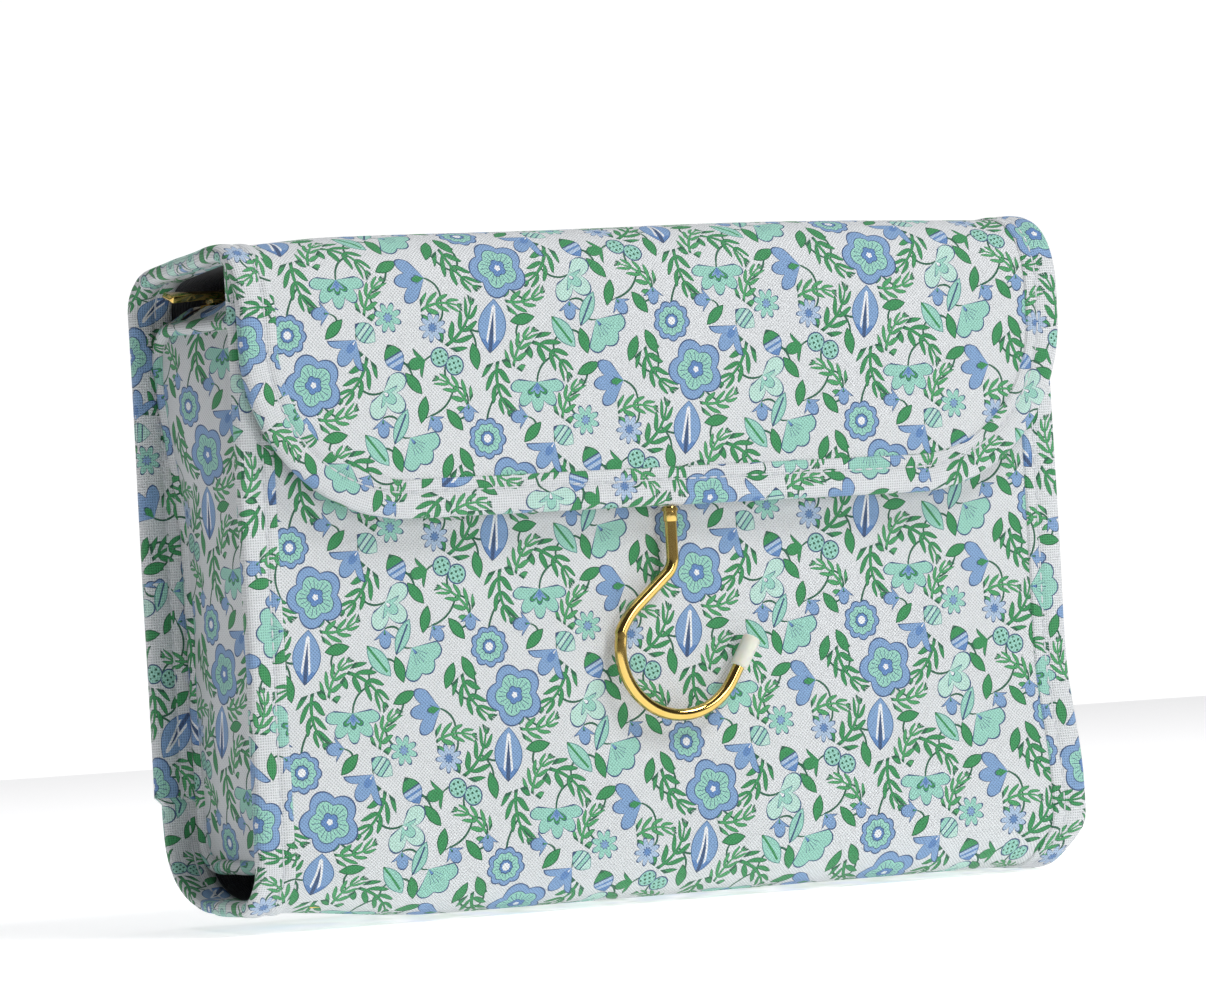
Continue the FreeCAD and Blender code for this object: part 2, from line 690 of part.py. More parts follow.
        chamfer.Base = cut
        chamfer.Edges = bevelled
        node(chamfer, f"{self.name}_pull")

    def make(self):
        """All of the zip's nodes, in order."""
        self.make_tapes()
        self.make_teeth()
        self.make_stops()
        self.make_slider()
        self.make_pull()


def bent_wire_route():
    """The hook's centre line: a straight stem, a bend to the left, a round loop and a straight tail."""
    plane = number(HOOK_PLANE)
    stem_top = number(HEM) - size_of("collar_wall") - size_of("head_thickness") - size_of("running_fit")

    def at(x, down):
        return FreeCAD.Vector(x, plane, number(HEM) - down)

    centre = at(size_of("loop_shift"), size_of("loop_drop"))

    def on_loop(angle):
        turn = math.radians(angle)
        return centre + FreeCAD.Vector(math.cos(turn), 0, math.sin(turn)) * size_of("loop_radius")

    def heading(angle):
        turn = math.radians(angle + 90)
        return FreeCAD.Vector(math.cos(turn), 0, math.sin(turn))

    start, end = size_of("entry_angle"), size_of("exit_angle")
    entry, leave = on_loop(start), on_loop(end)
    knee = at(0, size_of("stem_length"))
    fall = math.radians(size_of("entry_fall"))
    slope = FreeCAD.Vector(-math.cos(fall), 0, -math.sin(fall))
    back = heading(start) * -1
    gap = entry - knee
    across = slope.x * back.z - slope.z * back.x
    reach = (gap.x * back.z - gap.z * back.x) / across
    elbow = knee + slope * reach
    stem_start = FreeCAD.Vector(0, plane, stem_top)

    def rounded(before, corner, after, radius):
        into = (corner - before).normalize()
        out = (after - corner).normalize()
        half_turn = math.acos(max(-1.0, min(1.0, into.dot(out)))) / 2
        cut = radius * math.tan(half_turn)
        first, last = corner - into * cut, corner + out * cut
        bisector = (out - into).normalize()
        middle = corner + bisector * (radius / math.cos(half_turn) - radius)
        return first, middle, last

    bend = rounded(stem_start, knee, elbow, size_of("stem_bend"))
    soft_radius = min(size_of("entry_bend"), (entry - elbow).Length / math.tan(math.radians(15)))
    join = rounded(knee, elbow, entry, soft_radius)
    tail_end = leave + heading(end) * size_of("tail_length")
    edges = [
        Part.makeLine(stem_start, bend[0]),
        Part.Arc(*bend).toShape(),
        Part.makeLine(bend[2], join[0]),
        Part.Arc(*join).toShape(),
    ]
    if (entry - join[2]).Length > 1e-3:
        edges.append(Part.makeLine(join[2], entry))
    else:
        entry = join[2]
    edges.append(Part.Arc(entry, on_loop((start + end) / 2), leave).toShape())
    edges.append(Part.makeLine(leave, tail_end - heading(end) * 0.8))
    tip_start = tail_end - heading(end) * size_of("tip_length")
    return edges, stem_start, tip_start, heading(end)


def make_hook():
    """The hook: a bent wire with a head that turns in a collar, and a soft tube on its end."""
    edges, stem_start, tip_start, tip_heading = bent_wire_route()
    radius = size_of("wire_radius")
    path = Part.Wire(edges)
    section = Part.Wire(Part.makeCircle(radius, stem_start, Z_AXIS))
    wire = doc.addObject("Part::Feature", "hook_wire")
    wire.Shape = path.makePipeShell([section], True, True)
    node(wire, "hook_wire")

    tube_length = size_of("tip_length")
    outside = Part.makeCylinder(size_of("tip_radius"), tube_length, tip_start, tip_heading)
    end_edge = max(outside.Edges, key=lambda edge: (edge.CenterOfMass - tip_start).dot(tip_heading))
    outside = outside.makeFillet(size_of("tip_radius") * 0.6, [end_edge])
    bore_length = tube_length - 0.8
    bore = Part.makeCylinder(size_of("tip_bore"), bore_length, tip_start, tip_heading)
    tip = doc.addObject("Part::Feature", "hook_tip")
    tip.Shape = outside.cut(bore)
    node(tip, "hook_tip")

    head = doc.addObject("Part::Cylinder", "hook_head")
    head.setExpression("Radius", cell("head_radius"))
    head.setExpression("Height", cell("head_thickness"))
    head.setExpression(".Placement.Base.y", HOOK_PLANE)
    head_low = total(HEM, minus(total(cell("collar_wall"), cell("head_thickness"), cell("running_fit"))))
    head.setExpression(".Placement.Base.z", head_low)
    node(head, "hook_head")

    def upright_bar(name, bore_radius, low, length):
        bar = doc.addObject("Part::Cylinder", name)
        bar.setExpression("Radius", bore_radius)
        bar.setExpression("Height", length)
        bar.setExpression(".Placement.Base.y", HOOK_PLANE)
        bar.setExpression(".Placement.Base.z", low)
        return bar

    collar_low = total(HEM, minus(cell("collar_length")))
    outside = upright_bar("hook_collar_outside", cell("collar_radius"), collar_low, cell("collar_length"))
    chamber_low = total(head_low, minus(cell("running_fit")))
    chamber_top = total(HEM, minus(cell("collar_wall")))
    chamber = upright_bar(
        "hook_collar_chamber",
        total(cell("head_radius"), cell("running_fit")),
        chamber_low,
        f"{chamber_top} - {chamber_low}",
    )
    stem_hole = upright_bar(
        "hook_collar_hole",
        total(cell("wire_radius"), cell("running_fit")),
        total(collar_low, "-1"),
        f"({cell('collar_length')} - 0.5 + 1) - {cell('collar_wall')}",
    )
    collar = doc.addObject("Part::Cut", "hook_collar_shell")
    collar.Base = outside
    collar.Tool = chamber
    bored = doc.addObject("Part::Cut", "hook_collar")
    bored.Base = collar
    bored.Tool = stem_hole
    node(bored, "hook_collar")

    half_board = f"({cell('board_gauge')} / 2)"
    across = span(total(HOOK_PLANE, minus(half_board)), total(HOOK_PLANE, half_board))
    fold_top = total(HEM, cell("binding_gauge"))
    anchor = doc.addObject("Part::MultiFuse", "hook_anchor")
    anchor.Shapes = [
        raw_box("hook_anchor_plate", both_sides(f"({cell('anchor_width')} / 2)"), across,
                span(fold_top, total(fold_top, cell("anchor_height")))),
        raw_box("hook_anchor_tongue", both_sides(f"({cell('tongue_width')} / 2)"), across, span(HEM, fold_top)),
    ]
    node(anchor, "hook_anchor")


make_cover_panels()
make_flap()
make_front_tuck()
make_case()
make_pocket()
Zip("main", "z", MAIN_TAPE, cell("main_zip_back"), cell("tape_width"), "main_tape_front", "main_tape_rear").make()
Zip(
    "pocket", "y", POCKET_TAPE, POCKET_ZIP, f"({cell('tape_width')} / 3)", "pocket_tape_low", "pocket_tape_high",
).make()
make_hook()
doc.recompute()

for item in doc.Objects:
    if {"Invalid", "Error"} & set(item.State):
        raise RuntimeError(f"{item.Label} failed: {item.State}")
for item in NODES:
    if item.Shape.isNull() or not item.Shape.isValid():
        raise RuntimeError(f"{item.Label} has no valid shape")

os.makedirs("parts", exist_ok=True)
for item in NODES:
    item.Shape.exportStep(f"parts/{item.Label}.step")
print(f"{len(NODES)} sub-parts written")
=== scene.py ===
import logging
import math
from dataclasses import dataclass
from enum import Enum
from typing import Any, Iterable, Sequence

import bmesh
import bpy
import numpy as np
from mathutils import Matrix, Vector


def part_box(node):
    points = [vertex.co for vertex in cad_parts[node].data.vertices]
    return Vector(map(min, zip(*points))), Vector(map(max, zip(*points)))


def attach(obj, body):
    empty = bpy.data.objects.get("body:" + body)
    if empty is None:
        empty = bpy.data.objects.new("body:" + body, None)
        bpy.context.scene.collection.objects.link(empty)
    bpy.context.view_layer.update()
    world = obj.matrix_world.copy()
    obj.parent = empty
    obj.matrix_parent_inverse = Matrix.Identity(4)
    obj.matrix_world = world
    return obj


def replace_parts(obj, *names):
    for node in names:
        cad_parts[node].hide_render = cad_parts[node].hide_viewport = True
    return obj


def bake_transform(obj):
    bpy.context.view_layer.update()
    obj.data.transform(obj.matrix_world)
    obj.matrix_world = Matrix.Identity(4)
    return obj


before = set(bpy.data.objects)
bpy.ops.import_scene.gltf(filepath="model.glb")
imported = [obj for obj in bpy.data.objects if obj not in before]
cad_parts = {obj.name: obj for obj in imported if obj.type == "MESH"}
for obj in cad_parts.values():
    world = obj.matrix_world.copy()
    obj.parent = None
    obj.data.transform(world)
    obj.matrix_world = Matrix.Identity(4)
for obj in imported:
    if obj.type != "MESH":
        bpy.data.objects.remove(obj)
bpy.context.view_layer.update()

log = logging.getLogger("toiletry_bag")
MM = 0.001
CLOTH_LAYER = "Cloth"

Colour = tuple[float, float, float, float]
Pair = tuple[float, float]
Stop = tuple[float, Colour]
Grey = tuple[float, float]


class Edge(Enum):
    """The two sides of the bag, as the sign of X."""

    LEFT = -1
    RIGHT = 1


class Layer(Enum):
    """The layers of the cover: how deep each lies below the outer surface, in millimetres."""

    SKIN = (0.0, 0.8)
    BOARD = (0.86, 1.94)
    LINING = (2.0, 2.5)


# ---------------------------------------------------------------- shader tools


def srgb(red: float, green: float, blue: float, alpha: float = 1.0) -> Colour:
    """A linear colour from 0 to 255 screen values."""

    def linear(value: float) -> float:
        """One channel from screen value to linear light."""
        value /= 255
        return value / 12.92 if value <= 0.04045 else ((value + 0.055) / 1.055) ** 2.4

    return (linear(red), linear(green), linear(blue), alpha)


CLEAR: Colour = (0.0, 0.0, 0.0, 0.0)


class Value:
    """A shader socket in Python sums: every operator adds one Math node."""

    def __init__(self, kit: "Kit", socket: bpy.types.NodeSocket) -> None:
        self.kit = kit
        self.socket = socket

    def math(self, operation: str, *terms: Any) -> "Value":
        """One Math node on this value and the terms that follow it."""
        return self.kit.node("ShaderNodeMath", dict(enumerate((self, *terms))), operation=operation)

    def __add__(self, other: Any) -> "Value":
        """self + other"""
        return self.math("ADD", other)

    __radd__ = __add__

    def __sub__(self, other: Any) -> "Value":
        """self - other"""
        return self.math("SUBTRACT", other)

    def __rsub__(self, other: float) -> "Value":
        """other - self"""
        return self.kit.node("ShaderNodeMath", {0: other, 1: self}, operation="SUBTRACT")

    def __mul__(self, other: Any) -> "Value":
        """self * other"""
        return self.math("MULTIPLY", other)

    __rmul__ = __mul__

    def __truediv__(self, other: Any) -> "Value":
        """self / other"""
        return self.math("DIVIDE", other)

    def __abs__(self) -> "Value":
        """The size of the value without its sign."""
        return self.math("ABSOLUTE")

    def __gt__(self, other: Any) -> "Value":
        """1 where the value is greater, otherwise 0."""
        return self.math("GREATER_THAN", other)

    def __lt__(self, other: Any) -> "Value":
        """1 where the value is less, otherwise 0."""
        return self.math("LESS_THAN", other)

    def plus_square(self, other: Any) -> "Value":
        """self * self + other"""
        return self.math("MULTIPLY_ADD", self, other)

    def times_plus(self, factor: Any, offset: Any) -> "Value":
        """self * factor + offset"""
        return self.math("MULTIPLY_ADD", factor, offset)

    def sin(self) -> "Value":
        """The sine of the value."""
        return self.math("SINE")

    def highest(self, other: Any) -> "Value":
        """The greater of two values."""
        return self.math("MAXIMUM", other)

    def lowest(self, other: Any) -> "Value":
        """The lesser of two values."""
        return self.math("MINIMUM", other)

    def fraction(self) -> "Value":
        """What is left after the whole number."""
        return self.math("FRACT")

    def clamped(self) -> "Value":
        """The value kept between 0 and 1."""
        return self.kit.node("ShaderNodeClamp", {0: self})


class Kit:
    """Builds one material's node tree."""

    def __init__(self, name: str) -> None:
        """Starts a material with one Principled shader.

        Args:
            name: The material's name.
        """
        self.material = bpy.data.materials.new(name)
        self.material.use_nodes = True
        self.tree = self.material.node_tree
        self.tree.nodes.clear()
        self.output = self.tree.nodes.new("ShaderNodeOutputMaterial")
        self.shader = self.tree.nodes.new("ShaderNodeBsdfPrincipled")
        self.tree.links.new(self.shader.outputs[0], self.output.inputs[0])

    def node(
        self,
        kind: str,
        sockets: dict[Any, Any] | None = None,
        out: int | str = 0,
        stops: Sequence[Stop] | None = None,
        **settings: Any,
    ) -> Value:
        """Adds any node.

        Args:
            kind: The node's type.
            sockets: Values or links of its input sockets, by place or name.
            out: Which output is wanted.
            stops: The stops of a colour ramp.
            settings: The node's own settings, set before its sockets.

        Returns:
            The wanted output.
        """
        made = self.tree.nodes.new(kind)
        for name, setting in settings.items():
            setattr(made, name, setting)
        if stops is not None:
            elements = made.color_ramp.elements
            while len(elements) > 1:
                elements.remove(elements[-1])
            elements[0].position, elements[0].color = stops[0]
            for position, colour in stops[1:]:
                elements.new(position).color = colour
        for key, given in (sockets or {}).items():
            socket = made.inputs[key]
            if isinstance(given, Value):
                self.tree.links.new(given.socket, socket)
            else:
                socket.default_value = given
        return Value(self, made.outputs[out])

    def mix(self, factor: Any, low: Any, high: Any, blend: str = "MIX") -> Value:
        """A colour between two colours, or their blend."""
        return self.node("ShaderNodeMix", {0: factor, 6: low, 7: high}, out=2, data_type="RGBA", blend_type=blend)

    def times(self, low: Any, high: Any) -> Value:
        """One colour multiplied by another."""
        return self.mix(1.0, low, high, "MULTIPLY")

    def bands(self, value: Value, stops: Sequence[Stop]) -> tuple[Value, Value]:
        """The colour and the alpha of a ramp of hard bands over a value."""
        colour = self.node("ShaderNodeValToRGB", {0: value}, stops=stops)
        ramp = colour.socket.node
        ramp.color_ramp.interpolation = "CONSTANT"
        return colour, Value(self, ramp.outputs[1])

    def split(self, vector: Value) -> tuple[Value, ...]:
        """The three parts of a vector."""
        parts = self.node("ShaderNodeSeparateXYZ", {0: vector}).socket.node
        return tuple(Value(self, part) for part in parts.outputs)

    def vector(self, operation: str, first: Any, second: Any = None, third: Any = None, out: int = 0) -> Value:
        """One Vector Math node."""
        given = {place: term for place, term in enumerate((first, second, third)) if term is not None}
        return self.node("ShaderNodeVectorMath", given, out=out, operation=operation)

    def cloth_map(self) -> Value:
        """The piece's own cloth coordinates, in metres."""
        return self.node("ShaderNodeUVMap", uv_map=CLOTH_LAYER)

    def place(self) -> Value:
        """Object coordinates, in metres."""
        return self.node("ShaderNodeTexCoord", out=3)

    def noise(self, where: Value, scale: float, detail: float = 3.0) -> Value:
        """Soft noise from 0 to 1, its scale per metre."""
        return self.node("ShaderNodeTexNoise", {"Vector": where, "Scale": scale, "Detail": detail})

    def bump(self, height: Value, distance: float, strength: float = 1.0, under: Value | None = None) -> Value:
        """A bump from a height; distance is in metres."""
        given: dict[Any, Any] = {"Height": height, "Distance": distance, "Strength": strength}
        if under is not None:
            given["Normal"] = under
        return self.node("ShaderNodeBump", given)

    def finish(self, **sockets: Any) -> bpy.types.Material:
        """Sets the shader's sockets, their names with underscores for spaces, and gives the material."""
        for name, given in sockets.items():
            socket = self.shader.inputs[name.replace("_", " ")]
            if isinstance(given, Value):
                self.tree.links.new(given.socket, socket)
            else:
                socket.default_value = given
        return self.material


class SkyKit(Kit):
    """Builds the node tree of the surroundings."""

    def __init__(self, name: str) -> None:
        """Starts a world with one background shader.

        Args:
            name: The world's name.
        """
        world = bpy.data.worlds.new(name)
        world.use_nodes = True
        self.tree = world.node_tree
        self.tree.nodes.clear()
        self.shader = self.tree.nodes.new("ShaderNodeBackground")
        output = self.tree.nodes.new("ShaderNodeOutputWorld")
        self.tree.links.new(self.shader.outputs[0], output.inputs[0])
        bpy.context.scene.world = world

    def greys(self, value: Value, levels: Sequence[Grey]) -> Value:
        """A smooth ramp of cool greys over a value; the darker ones are a little bluer."""
        stops = [(place, (grey, grey, grey + (0.01 if grey < 1 else 0.0), 1.0)) for place, grey in levels]
        return self.node("ShaderNodeValToRGB", {0: value}, stops=stops)

    def light(self, colour: Value) -> None:
        """Lights the scene with a colour."""
        self.tree.links.new(colour.socket, self.shader.inputs[0])


# ---------------------------------------------------------------- printed pattern

GROUND = srgb(226, 229, 231)
BLUE = srgb(132, 166, 208)
DEEP_BLUE = srgb(100, 140, 194)
PALE_BLUE = srgb(176, 198, 224)
MINT = srgb(156, 212, 196)
PALE_MINT = srgb(192, 228, 216)
GREEN = srgb(60, 148, 90)
LEAF_GREEN = srgb(78, 164, 104)
STEM_GREEN = srgb(46, 102, 76)
INK = srgb(66, 90, 128)
WHITE = srgb(240, 242, 244)


@dataclass(frozen=True)
class Repeat:
    """The half-drop repeat of the print, in millimetres."""

    across: float = 60.4
    along: float = 62.0


@dataclass(frozen=True)
class Motif:
    """One motif of the print: its place in the repeat as two fractions, and its turn."""

    a: float
    b: float
    turn: float

    def local(self, kit: Kit, here: Value, repeat: Repeat, length: float, width: float) -> tuple[Value, Value]:
        """The motif's own two coordinates, which are 1 at its end and at its side.

        Args:
            kit: The material being built.
            here: Lattice coordinates.
            repeat: The print's repeat.
            length: Half the motif's length.
            width: Half the motif's width.

        Returns:
            The coordinate along the motif and the one across it.
        """
        away = kit.vector("SUBTRACT", here, (self.a, self.b, 0.0))
        near = kit.vector("WRAP", away, (0.5, 0.5, 0.5), (-0.5, -0.5, -0.5))
        cos, sin = math.cos(math.radians(self.turn)), math.sin(math.radians(self.turn))
        wide, tall = repeat.across, repeat.along
        along = ((wide * cos + tall * sin / 2) / length, tall * sin / length, 0.0)
        across = ((tall * cos / 2 - wide * sin) / width, tall * cos / width, 0.0)
        return kit.vector("DOT_PRODUCT", near, along, out=1), kit.vector("DOT_PRODUCT", near, across, out=1)

    def paint(self, kit: Kit, here: Value, repeat: Repeat, cloth: Value) -> Value:
        """The cloth's colour with this motif printed on it."""
        raise NotImplementedError


@dataclass(frozen=True)
class Round(Motif):
    """A flower seen from above: petals, rings and rays."""

    radius: float
    petals: int
    depth: float
    rings: tuple[Stop, ...]
    rays: int = 0
    spread: float = 0.0

    def paint(self, kit: Kit, here: Value, repeat: Repeat, cloth: Value) -> Value:
        """Prints the flower; a spread keeps only a fan of it, in radians each way."""
        x, y = self.local(kit, here, repeat, self.radius, self.radius)
        angle = y.math("ARCTAN2", x)
        lobe = abs((angle * (self.petals / 2)).math("COSINE"))
        edge = lobe.times_plus(self.depth, 1 - self.depth)
        reach = y.plus_square(x * x).math("SQRT")
        level = reach / edge
        if self.spread:
            level = level.highest(abs(angle) * (1 / self.spread))
        colour, alpha = kit.bands(level, self.rings)
        if self.rays:
            ray = (abs((angle * (self.rays / 2)).sin()) < 0.22) * (abs(level - 0.42) < 0.16)
            colour = kit.mix(ray, colour, INK)
        return kit.mix(alpha, cloth, colour)


@dataclass(frozen=True)
class Leaf(Motif):
    """A pointed leaf or bud with bands across it or slits along it."""

    length: float
    width: float
    bands: tuple[Stop, ...]
    rib: Colour | None = None
    slits: float = 0.0
    rim: Colour = (0.3, 0.42, 0.5, 1.0)

    def paint(self, kit: Kit, here: Value, repeat: Repeat, cloth: Value) -> Value:
        """Prints the leaf."""
        x, y = self.local(kit, here, repeat, self.length / 2, self.width / 2)
        side = abs(y)
        level = x.plus_square(side)
        colour, _ = kit.bands(x.times_plus(0.5, 0.5), self.bands)
        rim, alpha = kit.bands(level, ((0.0, (1.0, 1.0, 1.0, 1.0)), (1 - 0.6 / self.width, self.rim), (1.0, CLEAR)))
        if self.rib is not None:
            colour = kit.mix((side < 0.13) * (x < 0.7), colour, self.rib)
        if self.slits:
            slit = ((x * 1.6 + side * self.slits).math("SINE") > 0.78) * (level < 0.62)
            colour = kit.mix(slit, colour, WHITE)
        return kit.mix(alpha, cloth, kit.times(colour, rim))


@dataclass(frozen=True)
class Spray(Motif):
    """A sprig: slanting pairs of leaves on a bent stem, smaller towards its tip."""

    length: float
    width: float
    pairs: float
    bend: float
    colour: Colour

    def paint(self, kit: Kit, here: Value, repeat: Repeat, cloth: Value) -> Value:
        """Prints the sprig."""
        x, y = self.local(kit, here, repeat, self.length / 2, self.width / 2)
        square = x * x
        side = abs(square.times_plus(self.bend, y)) / x.times_plus(-0.42, 0.92)
        row = side.times_plus(-1.25, x * (self.pairs / 2)).fraction()
        level = (side * 2 - 1).plus_square(abs(row - 0.5) * 3.1)
        stem = side * 9
        colour, alpha = kit.bands(
            level.lowest(stem).highest(square), ((0.0, self.colour), (0.8, STEM_GREEN), (1.0, CLEAR)))
        return kit.mix(alpha, cloth, colour)


@dataclass(frozen=True)
class Stalk(Motif):
    """A thin bent stem."""

    length: float
    bend: float
    colour: Colour = STEM_GREEN

    def paint(self, kit: Kit, here: Value, repeat: Repeat, cloth: Value) -> Value:
        """Prints the stem."""
        x, y = self.local(kit, here, repeat, self.length / 2, 0.32)
        across = abs((x * x).times_plus(self.bend, y))
        _, alpha = kit.bands(across.highest(abs(x)), ((0.0, self.colour), (1.0, CLEAR)))
        return kit.mix(alpha, cloth, self.colour)


@dataclass(frozen=True)
class Berries(Motif):
    """Two dotted berries side by side."""

    radius: float
    apart: float
    rings: tuple[Stop, ...]

    def paint(self, kit: Kit, here: Value, repeat: Repeat, cloth: Value) -> Value:
        """Prints the pair."""
        x, y = self.local(kit, here, repeat, self.radius, self.radius)
        x = abs(x) - self.apart / self.radius
        level = y.plus_square(x * x).math("SQRT")
        colour, alpha = kit.bands(level, self.rings)
        dots = ((x * 9).sin() * (y * 9).sin() > 0.45) * (level < 0.8)
        return kit.mix(alpha, cloth, kit.mix(dots, colour, STEM_GREEN))


BLOOM = (
    (0.0, WHITE), (0.1, DEEP_BLUE), (0.27, INK), (0.3, MINT), (0.66, INK), (0.69, BLUE), (0.95, INK), (1.0, CLEAR))
FAN = ((0.0, DEEP_BLUE), (0.2, INK), (0.24, MINT), (0.95, INK), (1.0, CLEAR))
CROWN = ((0.0, DEEP_BLUE), (0.3, BLUE), (0.4, GREEN), (0.5, INK), (0.53, MINT), (0.95, INK), (1.0, CLEAR))
SPIKE = ((0.0, GREEN), (0.4, INK), (0.44, BLUE), (0.95, INK), (1.0, CLEAR))
BIG_TULIP = ((0.0, WHITE), (0.18, DEEP_BLUE), (0.5, BLUE), (0.95, INK), (1.0, CLEAR))
MINT_TULIP = ((0.0, WHITE), (0.2, INK), (0.24, MINT), (0.55, INK), (0.58, PALE_MINT), (0.94, INK), (1.0, CLEAR))
MEDAL = (
    (0.0, WHITE), (0.2, DEEP_BLUE), (0.32, INK), (0.37, MINT), (0.7, INK), (0.74, BLUE), (0.93, INK), (1.0, CLEAR))
STAR = ((0.0, DEEP_BLUE), (0.28, INK), (0.34, PALE_BLUE), (0.9, INK), (1.0, CLEAR))
MINT_STAR = ((0.0, BLUE), (0.28, INK), (0.34, MINT), (0.9, INK), (1.0, CLEAR))
TULIP = ((0.0, GREEN), (0.24, INK), (0.3, BLUE), (0.92, INK), (1.0, CLEAR))
TREFOIL = ((0.0, STEM_GREEN), (0.14, GREEN), (0.93, STEM_GREEN), (1.0, CLEAR))
BERRY = ((0.0, MINT), (0.86, INK), (1.0, CLEAR))
STRIPED = (
    (0.0, INK), (0.12, MINT), (0.3, INK), (0.34, PALE_MINT), (0.48, INK), (0.52, MINT), (0.66, INK), (0.7, PALE_MINT))
PLAIN_GREEN = ((0.0, GREEN),)
PLAIN_MINT = ((0.0, MINT),)
BUD = ((0.0, DEEP_BLUE), (0.25, BLUE))
ACORN = (
    (0.0, STEM_GREEN), (0.12, GREEN), (0.4, INK), (0.45, PALE_BLUE), (0.56, DEEP_BLUE), (0.64, PALE_BLUE),
    (0.76, DEEP_BLUE))

# Stems: place, turn, length and bend.
STEMS = (
    (0.209, 0.421, 308, 12.2, -5.1), (0.605, 0.072, 128, 4.1, 5.1), (0.355, 0.99, 50, 9.6, 5.1),
    (0.033, 0.315, 176, 8.6, 5.1), (0.836, 0.62, 300, 8.3, 5.1), (0.408, 0.648, 33, 3.5, 5.1),
    (0.45, 0.345, 164, 8.4, 5.1), (0.062, 0.931, 71, 14.0, 5.1), (0.505, 0.697, 126, 8.6, 5.1),
    (0.846, 0.478, 65, 7.4, -5.1), (0.85, 0.213, 283, 7.3, -5.1), (0.667, 0.36, 354, 9.8, -5.1),
    (0.178, 0.889, 139, 11.6, 5.1), (0.844, 0.082, 45, 11.2, -5.1), (0.57, 0.176, 336, 6.1, 5.1),
    (0.946, 0.091, 130, 6.6, -5.1), (0.426, 0.06, 246, 7.2, -5.1), (0.809, 0.329, 355, 6.9, 5.1),
    (0.942, 0.982, 43, 6.2, -5.1), (0.538, 0.048, 156, 6.9, -5.1), (0.725, 0.091, 319, 2.7, -5.1),
    (0.97, 0.699, 276, 9.3, 5.1), (0.873, 0.712, 313, 10.1, -5.1), (0.658, 0.356, 128, 9.3, -5.1),
    (0.012, 0.293, 107, 9.3, -5.1), (0.304, 0.756, 105, 4.5, -5.1), (0.561, 0.785, 229, 10.1, 5.1),
    (0.23, 0.212, 263, 7.0, -5.1),
)
# Sprigs and leaves: place, turn and, for a sprig, bend.
DARK_SPRIGS = (
    (0.963, 0.381, 57, -0.5), (0.391, 0.419, 230, 0.5), (0.95, 0.632, 306, -0.5),
    (0.427, 0.996, 316, 0.5), (0.124, 0.998, 284, -0.5),
)
LIGHT_SPRIGS = (
    (0.486, 0.779, 54, 0.5), (0.89, 0.142, 143, -0.5), (0.847, 0.543, 2, 0.5),
    (0.292, 0.318, 14, -0.5), (0.249, 0.143, 53, 0.5),
)
LEAVES = (
    (0.886, 0.994, 128), (0.58, 0.981, 106), (0.726, 0.125, 76), (0.935, 0.788, 298),
    (0.837, 0.809, 248), (0.683, 0.267, 129), (0.009, 0.215, 98), (0.287, 0.722, 44),
    (0.596, 0.846, 203), (0.264, 0.248, 8),
)
MOTIFS: tuple[Motif, ...] = (
    *(Stalk(*row) for row in STEMS),
    *(Spray(*place, 16.0, 8.4, 4, bend, GREEN) for *place, bend in DARK_SPRIGS),
    *(Spray(*place, 13.0, 6.8, 4, bend, LEAF_GREEN) for *place, bend in LIGHT_SPRIGS),
    *(Leaf(*place, 8.0, 3.4, PLAIN_GREEN) for place in LEAVES),
    Round(0.168, 0.535, 38, 9.0, 5, 0.24, BLOOM, rays=20),
    Round(0.648, 0.041, 311, 9.6, 9, 0.16, FAN, rays=27, spread=1.047),
    Round(0.325, 0.929, 269, 8.6, 9, 0.34, CROWN, spread=1.745),
    Leaf(0.106, 0.301, 82, 15.5, 8.8, BUD, rib=INK, slits=9.0),
    Round(0.778, 0.694, 185, 9.6, 9, 0.34, SPIKE, spread=1.047),
    Round(0.398, 0.615, 231, 9.0, 7, 0.42, BIG_TULIP, spread=0.9),
    Round(0.524, 0.314, 319, 8.4, 5, 0.5, MINT_TULIP, spread=1.885),
    Round(0.05, 0.821, 354, 6.0, 9, 0.14, MEDAL, rays=18),
    Round(0.568, 0.625, 339, 4.5, 8, 0.5, MINT_STAR),
    Round(0.796, 0.459, 141, 4.3, 9, 0.5, STAR),
    Berries(0.863, 0.271, 152, 2.9, 2.6, BERRY),
    Leaf(0.589, 0.433, 296, 8.6, 6.2, ACORN),
    Leaf(0.447, 0.621, 319, 8.0, 5.8, STRIPED),
    Round(0.269, 0.803, 180, 5.6, 5, 0.46, TULIP, spread=0.9),
    Round(0.76, 0.078, 305, 5.4, 5, 0.46, TULIP, spread=0.9),
    Round(0.513, 0.2, 271, 5.6, 5, 0.46, TULIP, spread=0.9),
    Round(0.961, 0.026, 269, 5.2, 5, 0.46, TULIP, spread=0.9),
    Leaf(0.475, 0.078, 308, 11.5, 5.2, PLAIN_MINT, rib=GREEN),
    Leaf(0.605, 0.114, 64, 11.0, 4.2, PLAIN_MINT, rib=INK),
    Round(0.75, 0.336, 196, 5.6, 5, 0.5, TREFOIL, spread=1.05),
)


